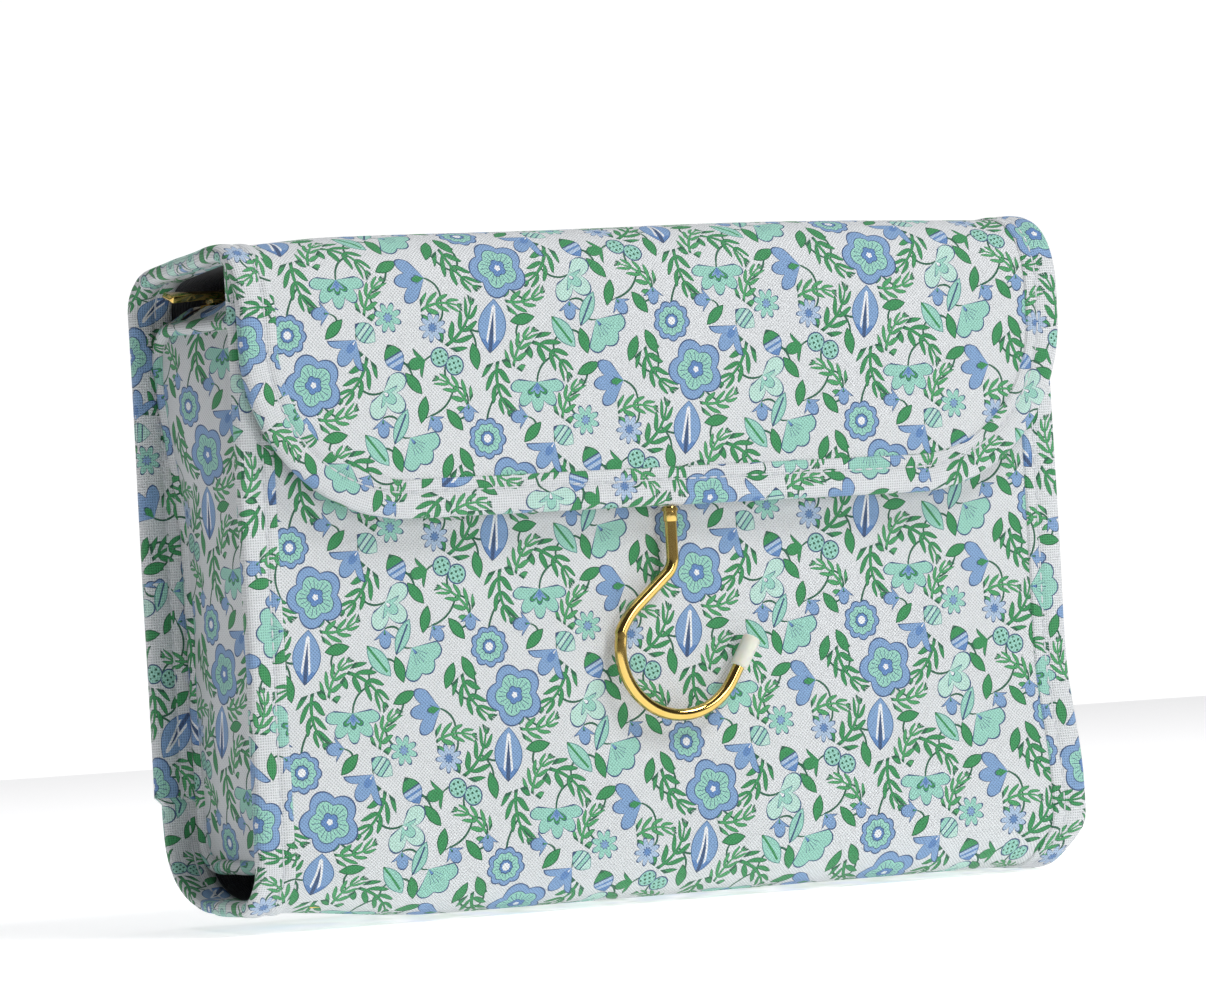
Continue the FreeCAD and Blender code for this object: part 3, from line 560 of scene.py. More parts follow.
@dataclass(frozen=True)
class PrintedCloth:
    """Light grey coated cloth with an embossed twill and a floral print."""

    name: str = "printed cloth"
    repeat: Repeat = Repeat()
    ground: Colour = GROUND
    dull_ground: float = 0.93
    twill_pitch: float = 0.75
    # Slope and level of the painted shade that darkens the twill's grooves in the colour.
    twill_painted_shade: Pair = (0.19, 0.865)
    twill_height: float = 0.00012
    crease_height: float = 0.0009
    roughness: float = 0.56

    def material(self) -> bpy.types.Material:
        """Builds the material."""
        kit = Kit(self.name)
        cloth = kit.cloth_map()
        east, north, _ = kit.split(cloth)
        across = east * (1 / MM / self.repeat.across)
        along = north * (1 / MM / self.repeat.along)
        here = kit.node("ShaderNodeCombineXYZ", {0: across, 1: across.times_plus(-0.5, along)})
        dull = tuple(self.dull_ground * part for part in self.ground[:3]) + (1.0,)
        colour = kit.mix(kit.noise(cloth, 14.0, 2.0), dull, self.ground)
        for motif in MOTIFS:
            colour = motif.paint(kit, here, self.repeat, colour)
        wander = kit.noise(cloth, 900.0, 1.0) * 2.0
        turn = 2 * math.pi / (self.twill_pitch * MM) * math.sqrt(0.5)
        down = ((east + north) * turn + wander).sin()
        up = ((east - north) * turn + wander).sin()
        weave = down.highest(up * 0.8)
        # Painted shade: the twill's low grooves are darkened in the colour as well as bumped.
        shade = weave.times_plus(*self.twill_painted_shade)
        colour = kit.times(colour, kit.node("ShaderNodeCombineXYZ", {0: shade, 1: shade, 2: shade}))
        normal = kit.bump(weave, self.twill_height)
        normal = kit.bump(kit.noise(cloth, 55.0, 2.0), self.crease_height, 0.5, normal)
        return kit.finish(
            Base_Color=colour,
            Roughness=weave.times_plus(-0.06, self.roughness),
            Normal=normal,
            Specular_IOR_Level=0.35,
            Sheen_Weight=0.08,
        )


@dataclass(frozen=True)
class RibbedLining:
    """Charcoal lining with a fine rib."""

    name: str = "ribbed lining"
    colour: Colour = srgb(52, 53, 57)
    # The darker colour of the rib's grooves is painted shade.
    rib_groove_shade: Colour = srgb(34, 35, 38)
    worn: Colour = srgb(80, 81, 86)
    rib_pitch: float = 0.9
    rib_height: float = 0.00012

    def material(self) -> bpy.types.Material:
        """Builds the material."""
        kit = Kit(self.name)
        cloth = kit.cloth_map()
        across, _, _ = kit.split(cloth)
        rib = (across * (2 * math.pi / (self.rib_pitch * MM))).sin()
        grain = kit.noise(cloth, 2600.0, 2.0)
        # Painted shade: the rib's grooves are darkened in the colour as well as bumped.
        tone = kit.mix(rib.times_plus(0.4, 0.5).clamped(), self.rib_groove_shade, self.colour)
        tone = kit.mix(grain * 0.35, tone, self.worn)
        normal = kit.bump(rib + grain, self.rib_height, 0.8)
        return kit.finish(Base_Color=tone, Roughness=grain.times_plus(0.2, 0.62), Normal=normal, Sheen_Weight=0.2)


@dataclass(frozen=True)
class GrainedFinish:
    """A plain finish with a fine grain, for board, tape, thread and rubber."""

    name: str
    colour: Colour
    deep: Colour
    grain: float
    height: float
    roughness: float
    sheen: float = 0.0
    see_through: float = 0.0

    def material(self) -> bpy.types.Material:
        """Builds the material."""
        kit = Kit(self.name)
        where = kit.place()
        fine = kit.noise(where, self.grain, 3.0)
        broad = kit.noise(where, self.grain / 30, 2.0)
        tone = kit.mix(fine.times_plus(0.7, broad * 0.3), self.deep, self.colour)
        return kit.finish(
            Base_Color=tone,
            Roughness=fine.times_plus(0.12, self.roughness - 0.06),
            Normal=kit.bump(fine, self.height, 0.8),
            Sheen_Weight=self.sheen,
            Subsurface_Weight=self.see_through,
            Subsurface_Scale=0.004,
        )


@dataclass(frozen=True)
class Metal:
    """Polished or brushed metal with faint scratches and smudges."""

    name: str
    colour: Colour
    edge: Colour
    roughness: float

    def material(self) -> bpy.types.Material:
        """Builds the material."""
        kit = Kit(self.name)
        where = kit.place()
        smudge = kit.noise(where, 160.0, 3.0)
        scratch = kit.noise(kit.vector("MULTIPLY", where, (3.0, 3.0, 0.2)), 2400.0, 2.0)
        tone = kit.mix(smudge, self.edge, self.colour)
        return kit.finish(
            Base_Color=tone,
            Metallic=1.0,
            Roughness=(smudge * 0.6 + scratch * 0.4).times_plus(0.14, self.roughness - 0.04),
            Normal=kit.bump(scratch, 0.00001, 0.35),
        )


class Wardrobe:
    """Every finish of the bag, each made once."""

    def __init__(self) -> None:
        """Makes the materials."""
        self.print = PrintedCloth().material()
        self.lining = RibbedLining().material()
        self.board = GrainedFinish(
            "stiffener board", srgb(214, 212, 206), srgb(180, 178, 170), grain=1500, height=0.0001, roughness=0.8
        ).material()
        self.tape = GrainedFinish(
            "zip tape", srgb(64, 65, 70), srgb(34, 35, 38), grain=3200, height=0.00012, roughness=0.8, sheen=0.3
        ).material()
        self.thread = GrainedFinish(
            "thread", srgb(226, 228, 230), srgb(186, 190, 196), grain=5200, height=0.00008, roughness=0.6, sheen=0.2
        ).material()
        self.rubber = GrainedFinish(
            "milky rubber", srgb(226, 228, 216), srgb(206, 210, 198), grain=700, height=0.00003, roughness=0.32,
            see_through=0.4,
        ).material()
        self.gold = Metal("polished gold", srgb(232, 200, 122), srgb(214, 178, 92), 0.07).material()
        self.teeth = Metal("zip teeth", srgb(226, 184, 84), srgb(176, 136, 54), 0.26).material()
        self.steel = Metal("magnet steel", srgb(196, 198, 202), srgb(150, 152, 158), 0.3).material()


# ---------------------------------------------------------------- mesh tools


def smooth(value: Any) -> Any:
    """A soft step from 0 to 1."""
    value = np.clip(value, 0.0, 1.0)
    return value * value * (3 - 2 * value)


def new_object(
    name: str, points: np.ndarray, faces: Iterable[Sequence[int]], cloth: np.ndarray | None = None
) -> bpy.types.Object:
    """Makes a closed mesh object from points in millimetres.

    Args:
        name: The piece's name.
        points: The vertices.
        faces: The faces, as vertex numbers.
        cloth: Cloth coordinates of each vertex, in millimetres.

    Returns:
        The object, its faces pointing outwards and shaded smooth.
    """
    mesh = bpy.data.meshes.new(name)
    mesh.from_pydata((np.asarray(points) * MM).tolist(), [], [tuple(face) for face in faces])
    work = bmesh.new()
    work.from_mesh(mesh)
    bmesh.ops.recalc_face_normals(work, faces=work.faces)
    work.to_mesh(mesh)
    work.free()
    if cloth is not None:
        layer = mesh.uv_layers.new(name=CLOTH_LAYER)
        corners = np.zeros(len(mesh.loops), dtype=np.int32)
        mesh.loops.foreach_get("vertex_index", corners)
        layer.data.foreach_set("uv", (np.asarray(cloth)[corners] * MM).ravel())
    piece = bpy.data.objects.new(name, mesh)
    bpy.context.scene.collection.objects.link(piece)
    smooth_faces(piece, 58)
    return piece


def smooth_faces(piece: bpy.types.Object, angle: float) -> None:
    """Shades a piece smooth, apart from edges sharper than an angle in degrees."""
    stand_alone(piece)
    bpy.ops.object.shade_smooth_by_angle(angle=math.radians(angle))
    piece.select_set(False)


def slab(name: str, outer: np.ndarray, inner: np.ndarray, cloth: np.ndarray) -> bpy.types.Object:
    """A thin closed sheet between two grids of points.

    Args:
        name: The piece's name.
        outer: Rows by columns of points on the outside.
        inner: The same grid on the inside.
        cloth: The grid's cloth coordinates.

    Returns:
        The object.
    """
    rows, columns = outer.shape[:2]
    index = np.arange(rows * columns).reshape(rows, columns)
    top = np.stack([index[:-1, :-1], index[:-1, 1:], index[1:, 1:], index[1:, :-1]], -1).reshape(-1, 4)
    below = top[:, ::-1] + rows * columns
    rim = np.concatenate([index[0, :], index[1:, -1], index[-1, -2::-1], index[-2:0:-1, 0]])
    after = np.roll(rim, -1)
    sides = np.stack([rim, rim + rows * columns, after + rows * columns, after], -1)
    points = np.concatenate([outer.reshape(-1, 3), inner.reshape(-1, 3)])
    flat = np.concatenate([cloth.reshape(-1, 2)] * 2)
    return new_object(name, points, np.concatenate([top, below, sides]).tolist(), flat)


def sweep(name: str, rings: np.ndarray, cloth: np.ndarray, closed: bool = False) -> bpy.types.Object:
    """A tube or channel through rings of points, capped where it isn't a loop.

    Args:
        name: The piece's name.
        rings: Stations by points of the section by three.
        cloth: Cloth coordinates, in the same order.
        closed: Whether the last station joins the first.

    Returns:
        The object.
    """
    stations, around = rings.shape[:2]
    index = np.arange(stations * around).reshape(stations, around)
    nxt = np.roll(index, -1, axis=0) if closed else index[1:]
    cur = index if closed else index[:-1]
    faces = np.stack([cur, np.roll(cur, -1, 1), np.roll(nxt, -1, 1), nxt], -1).reshape(-1, 4).tolist()
    if not closed:
        faces += [index[0].tolist(), index[-1][::-1].tolist()]
    return new_object(name, rings.reshape(-1, 3), faces, cloth.reshape(-1, 2))


def stand_alone(piece: bpy.types.Object) -> None:
    """Selects one piece and nothing else."""
    bpy.ops.object.select_all(action="DESELECT")
    bpy.context.view_layer.objects.active = piece
    piece.select_set(True)


def beads(
    name: str, places: np.ndarray, along: np.ndarray, out: np.ndarray, length: float, radius: float
) -> bpy.types.Object:
    """A row of stitches, each a small copy of one rounded bead.

    Args:
        name: The piece's name.
        places: The middle of each stitch.
        along: The direction of each stitch.
        out: The direction each stands out in.
        length: A stitch's length.
        radius: Half a stitch's width.

    Returns:
        The object.
    """
    bpy.ops.object.select_all(action="DESELECT")
    bpy.ops.mesh.primitive_uv_sphere_add(segments=6, ring_count=4, radius=1.0)
    model = bpy.context.object
    bead = np.array([vertex.co[:] for vertex in model.data.vertices])
    faces = [list(face.vertices) for face in model.data.polygons]
    bpy.data.objects.remove(model)
    across = np.cross(along, out)
    blunt = np.sign(bead[:, 2]) * np.abs(bead[:, 2]) ** 0.45
    points = (
        places[:, None]
        + along[:, None] * (blunt * length / 2)[None, :, None]
        + across[:, None] * (bead[:, 0] * radius)[None, :, None]
        + out[:, None] * (bead[:, 1] * radius * 0.8)[None, :, None]
    )
    every = [[corner + number * len(bead) for corner in face] for number in range(len(places)) for face in faces]
    return new_object(name, points.reshape(-1, 3), every)


def dress(piece: bpy.types.Object, material: bpy.types.Material) -> bpy.types.Object:
    """Gives a piece one material."""
    piece.data.materials.clear()
    piece.data.materials.append(material)
    piece.data.polygons.foreach_set("material_index", [0] * len(piece.data.polygons))
    return piece


def apply_modifiers(piece: bpy.types.Object) -> None:
    """Applies every modifier of a piece."""
    stand_alone(piece)
    for modifier in list(piece.modifiers):
        bpy.ops.object.modifier_apply(modifier=modifier.name)
    piece.select_set(False)


def round_edges(piece: bpy.types.Object, width: float, segments: int, limit: float = 30) -> None:
    """Rounds a piece's edges and shades it smooth between them.

    Args:
        piece: The piece.
        width: The bevel's width in millimetres.
        segments: Steps in each bevel.
        limit: The sharpest edge that stays, in degrees.
    """
    bevel = piece.modifiers.new("round", "BEVEL")
    bevel.width, bevel.segments = width * MM, segments
    bevel.limit_method, bevel.angle_limit = "ANGLE", math.radians(limit)
    apply_modifiers(piece)
    smooth_faces(piece, 35)


def turned_rod(
    name: str, middle: Sequence[float], axis: Vector, size: Pair, rounding: float, segments: int, sides: int = 40
) -> bpy.types.Object:
    """A short round bar with rounded ends.

    Args:
        name: The piece's name.
        middle: Its middle, in metres.
        axis: The direction of its length.
        size: Its radius and length, in metres.
        rounding: The bevel's width in millimetres.
        segments: Steps in the bevel.
        sides: Steps round the bar.

    Returns:
        The piece.
    """
    bpy.ops.object.select_all(action="DESELECT")
    turn = axis.to_track_quat("Z", "Y").to_euler()
    bpy.ops.mesh.primitive_cylinder_add(vertices=sides, radius=size[0], depth=size[1], location=middle, rotation=turn)
    rod = bpy.context.object
    rod.name = rod.data.name = name
    bpy.ops.object.transform_apply(location=True, rotation=True, scale=True)
    round_edges(rod, rounding, segments)
    return rod


def bevelled_copy(name: str, node: str, width: float, segments: int = 3) -> bpy.types.Object:
    """A copy of a CAD node with its loose triangles joined and its edges rounded.

    Args:
        name: The new piece's name.
        node: The CAD node.
        width: The bevel's width in millimetres.
        segments: Steps in each bevel.

    Returns:
        The piece.
    """
    piece = bpy.data.objects.new(name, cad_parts[node].data.copy())
    bpy.context.scene.collection.objects.link(piece)
    work = bmesh.new()
    work.from_mesh(piece.data)
    bmesh.ops.remove_doubles(work, verts=work.verts, dist=2e-6)
    bmesh.ops.dissolve_limit(work, angle_limit=math.radians(2), verts=work.verts, edges=work.edges)
    work.to_mesh(piece.data)
    work.free()
    round_edges(piece, width, segments)
    return piece


# ---------------------------------------------------------------- cover


@dataclass(frozen=True)
class Fold:
    """A rounded fold of the cover: its corner, and how far before and after it the curve runs."""

    y: float
    z: float
    before: float
    after: float


class Course:
    """The cover's outer surface in side view, from the flap's hem to the front panel's top.

    The top falls towards the back, and the lower front fold is rounder on the right.
    """

    flap_plane: float = -37.5
    fall: float = 6.6
    floor: float = 0.6
    low_front_cut: dict[Edge, float] = {Edge.LEFT: 13.0, Edge.RIGHT: 16.0}
    fold_steps: int = 48
    run_steps: int = 80

    def __init__(self, half_width: float, depth: float, height: float, hem: float, front: float, top: float) -> None:
        """Samples the course at both sides of the bag.

        Args:
            half_width: Half the bag's width.
            depth: The outer surface of the back.
            height: The outer surface of the top.
            hem: The height of the flap's hem.
            front: The outer surface of the front panel.
            top: The height of the front panel's upper end.
        """
        self.half_width = half_width
        sides = []
        for low_front in self.low_front_cut.values():
            folds = (
                Fold(self.flap_plane, height, 25.0, 27.0),
                Fold(depth, height - self.fall, 15.0, 13.0),
                Fold(depth, self.floor, 33.0, 36.0 - low_front / 3),
                Fold(front, self.floor, low_front, low_front + 3),
            )
            sides.append(self.sample((self.flap_plane + 0.1, hem), folds, (front + 0.4, top)))
        self.left, self.right = sides
        middle = (self.left + self.right) / 2
        self.length = np.concatenate([[0.0], np.cumsum(np.linalg.norm(np.diff(middle, axis=0), axis=1))])

    def sample(self, start: Pair, folds: Sequence[Fold], end: Pair) -> np.ndarray:
        """Points along straight runs and rounded folds.

        Args:
            start: Y and Z of the hem.
            folds: The folds in order.
            end: Y and Z of the front panel's upper end.

        Returns:
            Rows of Y and Z.
        """
        points = [np.array(start)]
        here = np.array(start)
        corners = [np.array((fold.y, fold.z)) for fold in folds] + [np.array(end)]
        steps = self.fold_steps
        for number, fold in enumerate(folds):
            corner = corners[number]
            back = here - corner
            ahead = corners[number + 1] - corner
            enter = corner + back / np.linalg.norm(back) * fold.before
            leave = corner + ahead / np.linalg.norm(ahead) * fold.after
            points += [here + (enter - here) * step / steps for step in range(1, steps + 1)]
            for step in range(1, steps + 1):
                t = step / steps
                points.append((1 - t) ** 2 * enter + 2 * t * (1 - t) * corner + t * t * leave)
            here = leave
        points += [here + (np.array(end) - here) * step / self.run_steps for step in range(1, self.run_steps + 1)]
        return np.array(points)

    def at(self, across: np.ndarray, along: np.ndarray) -> tuple[np.ndarray, np.ndarray, np.ndarray]:
        """The surface at places across and along the cover.

        Args:
            across: X of each place.
            along: Distance from the hem of each place.

        Returns:
            The points, the outward normals and the directions of growing distance.
        """
        side = np.clip((across / self.half_width + 1) / 2, 0, 1)[..., None]

        def place(distance: np.ndarray) -> np.ndarray:
            """Y and Z at a distance."""
            left = np.stack([np.interp(distance, self.length, self.left[:, axis]) for axis in (0, 1)], -1)
            right = np.stack([np.interp(distance, self.length, self.right[:, axis]) for axis in (0, 1)], -1)
            return left * (1 - side) + right * side

        here = place(along)
        step = place(along + 0.6) - place(along - 0.6)
        step /= np.linalg.norm(step, axis=-1, keepdims=True)
        zero = np.zeros_like(across)
        point = np.stack([across, here[..., 0], here[..., 1]], -1)
        tangent = np.stack([zero, step[..., 0], step[..., 1]], -1)
        normal = np.stack([zero, -step[..., 1], step[..., 0]], -1)
        return point, normal, tangent

    def distance_of(self, y: float, z: float) -> float:
        """The distance from the hem of the place nearest to a point in side view."""
        middle = (self.left + self.right) / 2
        return float(self.length[np.argmin(np.hypot(middle[:, 0] - y, middle[:, 1] - z))])


def settle(points: np.ndarray) -> np.ndarray:
    """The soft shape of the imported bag: its crown, its belly and its small waves.

    Args:
        points: Places on the stiff course, in millimetres.

    Returns:
        The same places on the settled cover.
    """
    x, y, z = points[..., 0], points[..., 1], points[..., 2]
    left, right, out = smooth((-x - 70) / 62), smooth((x - 96) / 36), smooth((np.abs(x) - 92) / 40)
    crown = 1.6 * (1 - (x / 134) ** 2) * smooth((z - 178) / 12) * (1 - np.clip((y + 1) / 44, -1, 1) ** 2)
    left_end_up = 4.2 * left * smooth((26 - z) / 26)
    left_top_down = 2.4 * smooth((-x - 92) / 40) * smooth((z - 172) / 14) * smooth((y + 34) / 30)
    top_wave = 0.3 * np.sin(x / 23 + y / 15 + 0.6) * smooth((z - 170) / 18)
    belly = 3.0 * smooth((62 - z) / 36) * smooth((-16 - y) / 8) * smooth(z / 16)
    wave = 0.35 * np.sin(x / 19 + z / 33) * np.sin(z / 27 - x / 61 + 1.0)
    splay = np.sign(x) * 2.0 * out * smooth((72 - z) / 50) * smooth((-14 - y) / 10)
    right_foot_in = 4.5 * right * smooth((14 - z) / 13) * smooth((26 - y) / 30)
    raw_end_in = 2.2 * smooth((-100 - x) / 30) * smooth((36.4 - z) / 1.6) * smooth((y + 4) / 24)
    dx = splay - right_foot_in + raw_end_in
    dy = wave - belly
    dz = crown + left_end_up - left_top_down + top_wave
    return points + np.stack([dx, dy, dz], -1)


@dataclass(frozen=True)
class Stretch:
    """One stretch of the cover, between two distances from the hem."""

    name: str
    bodies: tuple[str, str]
    start: tuple[float, float, float]
    end: tuple[float, float, float]
    panels: tuple[str, ...]
    begin: float
    finish: float


@dataclass
class Cover:
    """The long folded strip: printed skin, stiffener, ribbed lining and bound edges."""

    wardrobe: Wardrobe
    half_width: float = 132.0
    corner: float = 50.0
    step: float = 3.0
    columns: int = 89
    inset: float = 0.9
    binding_width: float = 11.0
    flattening: float = 0.55
    stitch_line: float = 7.4
    stitch_pitch: float = 3.4
    stitch_length: float = 2.4
    stitch_heights: Pair = (0.36, -2.86)
    thread_radius: float = 0.3
    raw_end_lap: float = 4.0

    def __post_init__(self) -> None:
        """Reads the sizes from the frame and lays out the four stretches."""
        back_low, back_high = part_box("back_skin")
        top_low, top_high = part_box("top_skin")
        front_low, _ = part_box("front_skin")
        _, tuck_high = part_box("front_tuck")
        hem_low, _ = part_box("flap_binding")
        self.course = Course(
            half_width=self.half_width,
            depth=back_high.y / MM,
            height=top_high.z / MM + 0.2,
            hem=hem_low.z / MM + 0.2,
            front=front_low.y / MM,
            top=tuck_high.z / MM,
        )
        top = self.course.distance_of(0.0, 191.0)
        back = self.course.distance_of(38.4, 97.0)
        floor = self.course.distance_of(3.0, 0.6)
        last = float(self.course.length[-1])
        self.raw_end = self.course.distance_of(38.4, 35.5)
        self.stretches = (
            Stretch("flap", ("flap", "top"), (0, -0.0375, 0.1674), (0, -0.0105, 0.1934), ("flap",), 0.0, top),
            Stretch("top", ("top", "back"), (0, 0.024, 0.188), (0, 0.0384, 0.172), ("top",), top, back),
            Stretch("back", ("back", "bottom"), (0, 0.0384, 0.034), (0, 0.0024, 0.0006), ("back",), back, floor),
            Stretch(
                "front", ("bottom", "front"), (0, -0.0046, 0.0006), (0, -0.0316, 0.026), ("bottom", "front"),
                floor, last,
            ),
        )

    def half_at(self, along: np.ndarray) -> np.ndarray:
        """Half the cover's width at distances from the hem, with its rounded lower corners."""
        fall = np.clip(self.corner - along, 0.0, self.corner)
        return self.half_width - self.corner + np.sqrt(np.maximum(self.corner**2 - fall**2, 0.0))

    def rows(self, stretch: Stretch) -> np.ndarray:
        """Distances of a stretch's rows, closer together round the lower corners."""
        begin = stretch.begin
        rows = []
        if begin == 0.0:
            rows = [self.corner * (1 - math.cos(math.radians(angle))) for angle in range(0, 90, 4)]
            begin = self.corner
        count = max(2, round((stretch.finish - begin) / self.step))
        return np.array(rows + list(np.linspace(begin, stretch.finish, count + 1)))

    def layer(self, stretch: Stretch, layer: Layer) -> bpy.types.Object:
        """One layer of a stretch, as a thin closed sheet."""
        along = self.rows(stretch)
        across = (self.half_at(along) - self.inset)[:, None] * np.linspace(-1, 1, self.columns)[None, :]
        if stretch.begin == 0.0:
            along = np.maximum(along, self.inset)
        down = np.repeat(along[:, None], self.columns, 1)
        point, normal, _ = self.course.at(across, down)
        outer = settle(point - normal * layer.value[0])
        inner = settle(point - normal * layer.value[1])
        return slab(f"{stretch.name}_{layer.name.lower()}_sheet", outer, inner, np.stack([across, down], -1))

    def area(self, stretch: Stretch) -> float:
        """The flat area of a stretch, in square metres."""
        along = np.linspace(stretch.begin, stretch.finish, 400)
        half = self.half_at(along)
        return float(np.sum((half[1:] + half[:-1]) * np.diff(along))) * MM * MM

    def join(self, piece: bpy.types.Object) -> bpy.types.Object:
        """Bakes a piece's placement into its mesh."""
        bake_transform(piece)
        return piece

    def section(self, thin: bool) -> np.ndarray:
        """The binding's section: outward reach and height, all the way round its 2.5 mm edge."""
        width = self.binding_width
        outer = [
            (-width, 0.06), (-width + 0.15, 0.42), (-width + 0.8, 0.62), (-9.2, 0.78), (-8.3, 0.66), (-7.8, 0.38),
            (-7.4, 0.26), (-7.0, 0.38), (-6.4, 0.74), (-5.0, 1.05), (-3.2, 1.15), (-1.6, 1.0), (-0.6, 0.6),
            (-0.1, -0.1), (0.0, -1.25),
        ]
        inner = [(reach - (1.7 if reach < -8.5 else 0.0), -2.5 - height) for reach, height in outer[-2::-1]]
        ring = np.array(outer + inner + [(-width - 1.6, -2.54), (-0.85, -2.54), (-0.85, 0.02), (-width + 0.1, 0.02)])
        if thin:
            height = ring[:, 1]
            above, below = height > 0, height < -2.5
            height[above] *= self.flattening
            height[below] = (height[below] + 2.5) * self.flattening - 2.5
        return ring

    def edge_path(self, stretch: Stretch, side: Edge | None) -> tuple[np.ndarray, ...]:
        """The cover's edge: across, along, and the outward direction in the cover's surface.

        Args:
            stretch: The stretch that is bound.
            side: One side, or None for the flap's whole rounded edge.

        Returns:
            Four rows of numbers: the place, then the direction.
        """
        if side is not None:
            along = np.linspace(stretch.begin, stretch.finish, max(2, round((stretch.finish - stretch.begin) / 2.0)))
            across = np.full_like(along, side.value * self.half_width)
            return across, along, np.full_like(along, float(side.value)), np.zeros_like(along)
        straight = np.linspace(stretch.finish, self.corner, 60)[:-1]
        turn = np.radians(np.linspace(0, 90, 40))
        middle = np.linspace(self.corner - self.half_width, self.half_width - self.corner, 84)[1:-1]
        reach = self.half_width - self.corner
        across = np.concatenate([
            np.full(len(straight), -self.half_width), -reach - self.corner * np.cos(turn), middle,
            reach + self.corner * np.sin(turn), np.full(len(straight), self.half_width)])
        along = np.concatenate([
            straight, self.corner * (1 - np.sin(turn)), np.zeros(len(middle)),
            self.corner * (1 - np.cos(turn)), straight[::-1]])
        ones, zeros = np.ones(len(straight)), np.zeros(len(straight))
        out_across = np.concatenate([-ones, -np.cos(turn), np.zeros(len(middle)), np.sin(turn), ones])
        out_along = np.concatenate([zeros, -np.sin(turn), np.full(len(middle), -1.0), -np.cos(turn), zeros])
        return across, along, out_across, out_along

    def binding(self, name: str, path: tuple[np.ndarray, ...], thin: bool) -> tuple[bpy.types.Object, ...]:
        """A bias binding along an edge path, and its stitches.

        Args:
            name: The binding's name.
            path: What edge_path gives.
            thin: Whether this is the flatter, narrower length near the floor.

        Returns:
            The binding and its stitches.
        """
        across, along, out_across, out_along = path
        point, normal, tangent = self.course.at(across, along)
        out = np.zeros_like(point)
        out[:, 0] = out_across
        out += tangent * out_along[:, None]
        ring = self.section(thin)
        travel = np.concatenate([[0.0], np.cumsum(np.linalg.norm(np.diff(point, axis=0), axis=1))])
        plump = 1 + 0.05 * np.sin(travel / 9.0 + 1.0) + 0.04 * np.sin(travel / 3.4)
        heights = np.where(ring[:, 1] > 0, ring[:, 1] * plump[:, None], ring[:, 1])
        rings = point[:, None] + out[:, None] * ring[None, :, 0, None] + normal[:, None] * heights[:, :, None]
        around = np.concatenate([[0.0], np.cumsum(np.linalg.norm(np.diff(ring, axis=0), axis=1))])
        flat = np.stack([
            (around[None, :] + travel[:, None]) * math.sqrt(0.5) + 21.0,
            (travel[:, None] - around[None, :]) * math.sqrt(0.5) + 37.0], -1)
        strip = sweep(name, settle(rings), flat)

        def between(values: np.ndarray, where: np.ndarray) -> np.ndarray:
            """Rows of points or directions read at distances along the edge."""
            return np.stack([np.interp(where, travel, values[:, axis]) for axis in range(3)], -1)

        spots = np.arange(1.6, travel[-1] - 1.2, self.stitch_pitch)
        seats = [
            between(settle(point - out * self.stitch_line + normal * height), spots) for height in self.stitch_heights
        ]
        lead = between(point, spots + 0.5) - between(point, spots - 0.5)
        lead /= np.linalg.norm(lead, axis=1, keepdims=True)
        face = between(normal, spots)
        stitches = beads(
            f"{name}_stitches", np.concatenate(seats), np.concatenate([lead, lead]), np.concatenate([face, -face]),
            self.stitch_length, self.thread_radius)
        return strip, stitches

    def build(self) -> None:
        """Makes every layer and binding of the cover."""
        finishes = {
            Layer.SKIN: (self.wardrobe.print, "printed_fabric", "skin"),
            Layer.BOARD: (self.wardrobe.board, "stiffener_board", "board"),
            Layer.LINING: (self.wardrobe.lining, "ribbed_lining", "lining"),
        }
        for stretch in self.stretches:
            area = self.area(stretch)
            size = (2 * self.half_width * MM, (stretch.finish - stretch.begin) * MM)
            for layer, (material, slot, node) in finishes.items():
                piece = dress(self.layer(stretch, layer), material)
                extra = ("front_tuck",) if stretch.name == "front" and layer is Layer.SKIN else ()
                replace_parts(piece, *(f"{panel}_{node}" for panel in stretch.panels), *extra)
                self.join(piece)
                if layer is not Layer.BOARD:
                    min(area, size[0] * size[1])
                log.info("%s laid", piece.name)
            for side in (None,) if stretch.name == "flap" else tuple(Edge):
                self.bind(stretch, side)

    def bind(self, stretch: Stretch, side: Edge | None) -> None:
        """Binds one edge of a stretch, with the raw end of the tape on the left near the floor.

        Args:
            stretch: The stretch.
            side: Its side, or None for the flap's whole edge.
        """
        label = {None: "hem", Edge.LEFT: "left", Edge.RIGHT: "right"}[side]
        path = self.edge_path(stretch, side)
        nodes = {
            "flap": ("flap_binding",), "top": (f"top_binding_{label}",), "back": (f"back_binding_{label}",),
            "front": (f"bottom_binding_{label}", f"front_binding_{label}")}[stretch.name]
        runs = [(f"{stretch.name}_bias_{label}", path, False)]
        if stretch.name == "back" and side is Edge.LEFT:
            upper, lower = path[1] <= self.raw_end, path[1] > self.raw_end - self.raw_end_lap
            runs = [
                ("back_bias_left", tuple(part[upper] for part in path), False),
                ("back_bias_left_low", tuple(part[lower] for part in path), True)]
        for name, run, thin in runs:
            strip, stitches = self.binding(name, run, thin)
            dress(strip, self.wardrobe.print)
            dress(stitches, self.wardrobe.thread)
            if name == runs[0][0]:
                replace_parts(strip, *nodes)
            self.join(strip)
            self.join(stitches)
            log.info("%s sewn on", name)


# ---------------------------------------------------------------- compartment


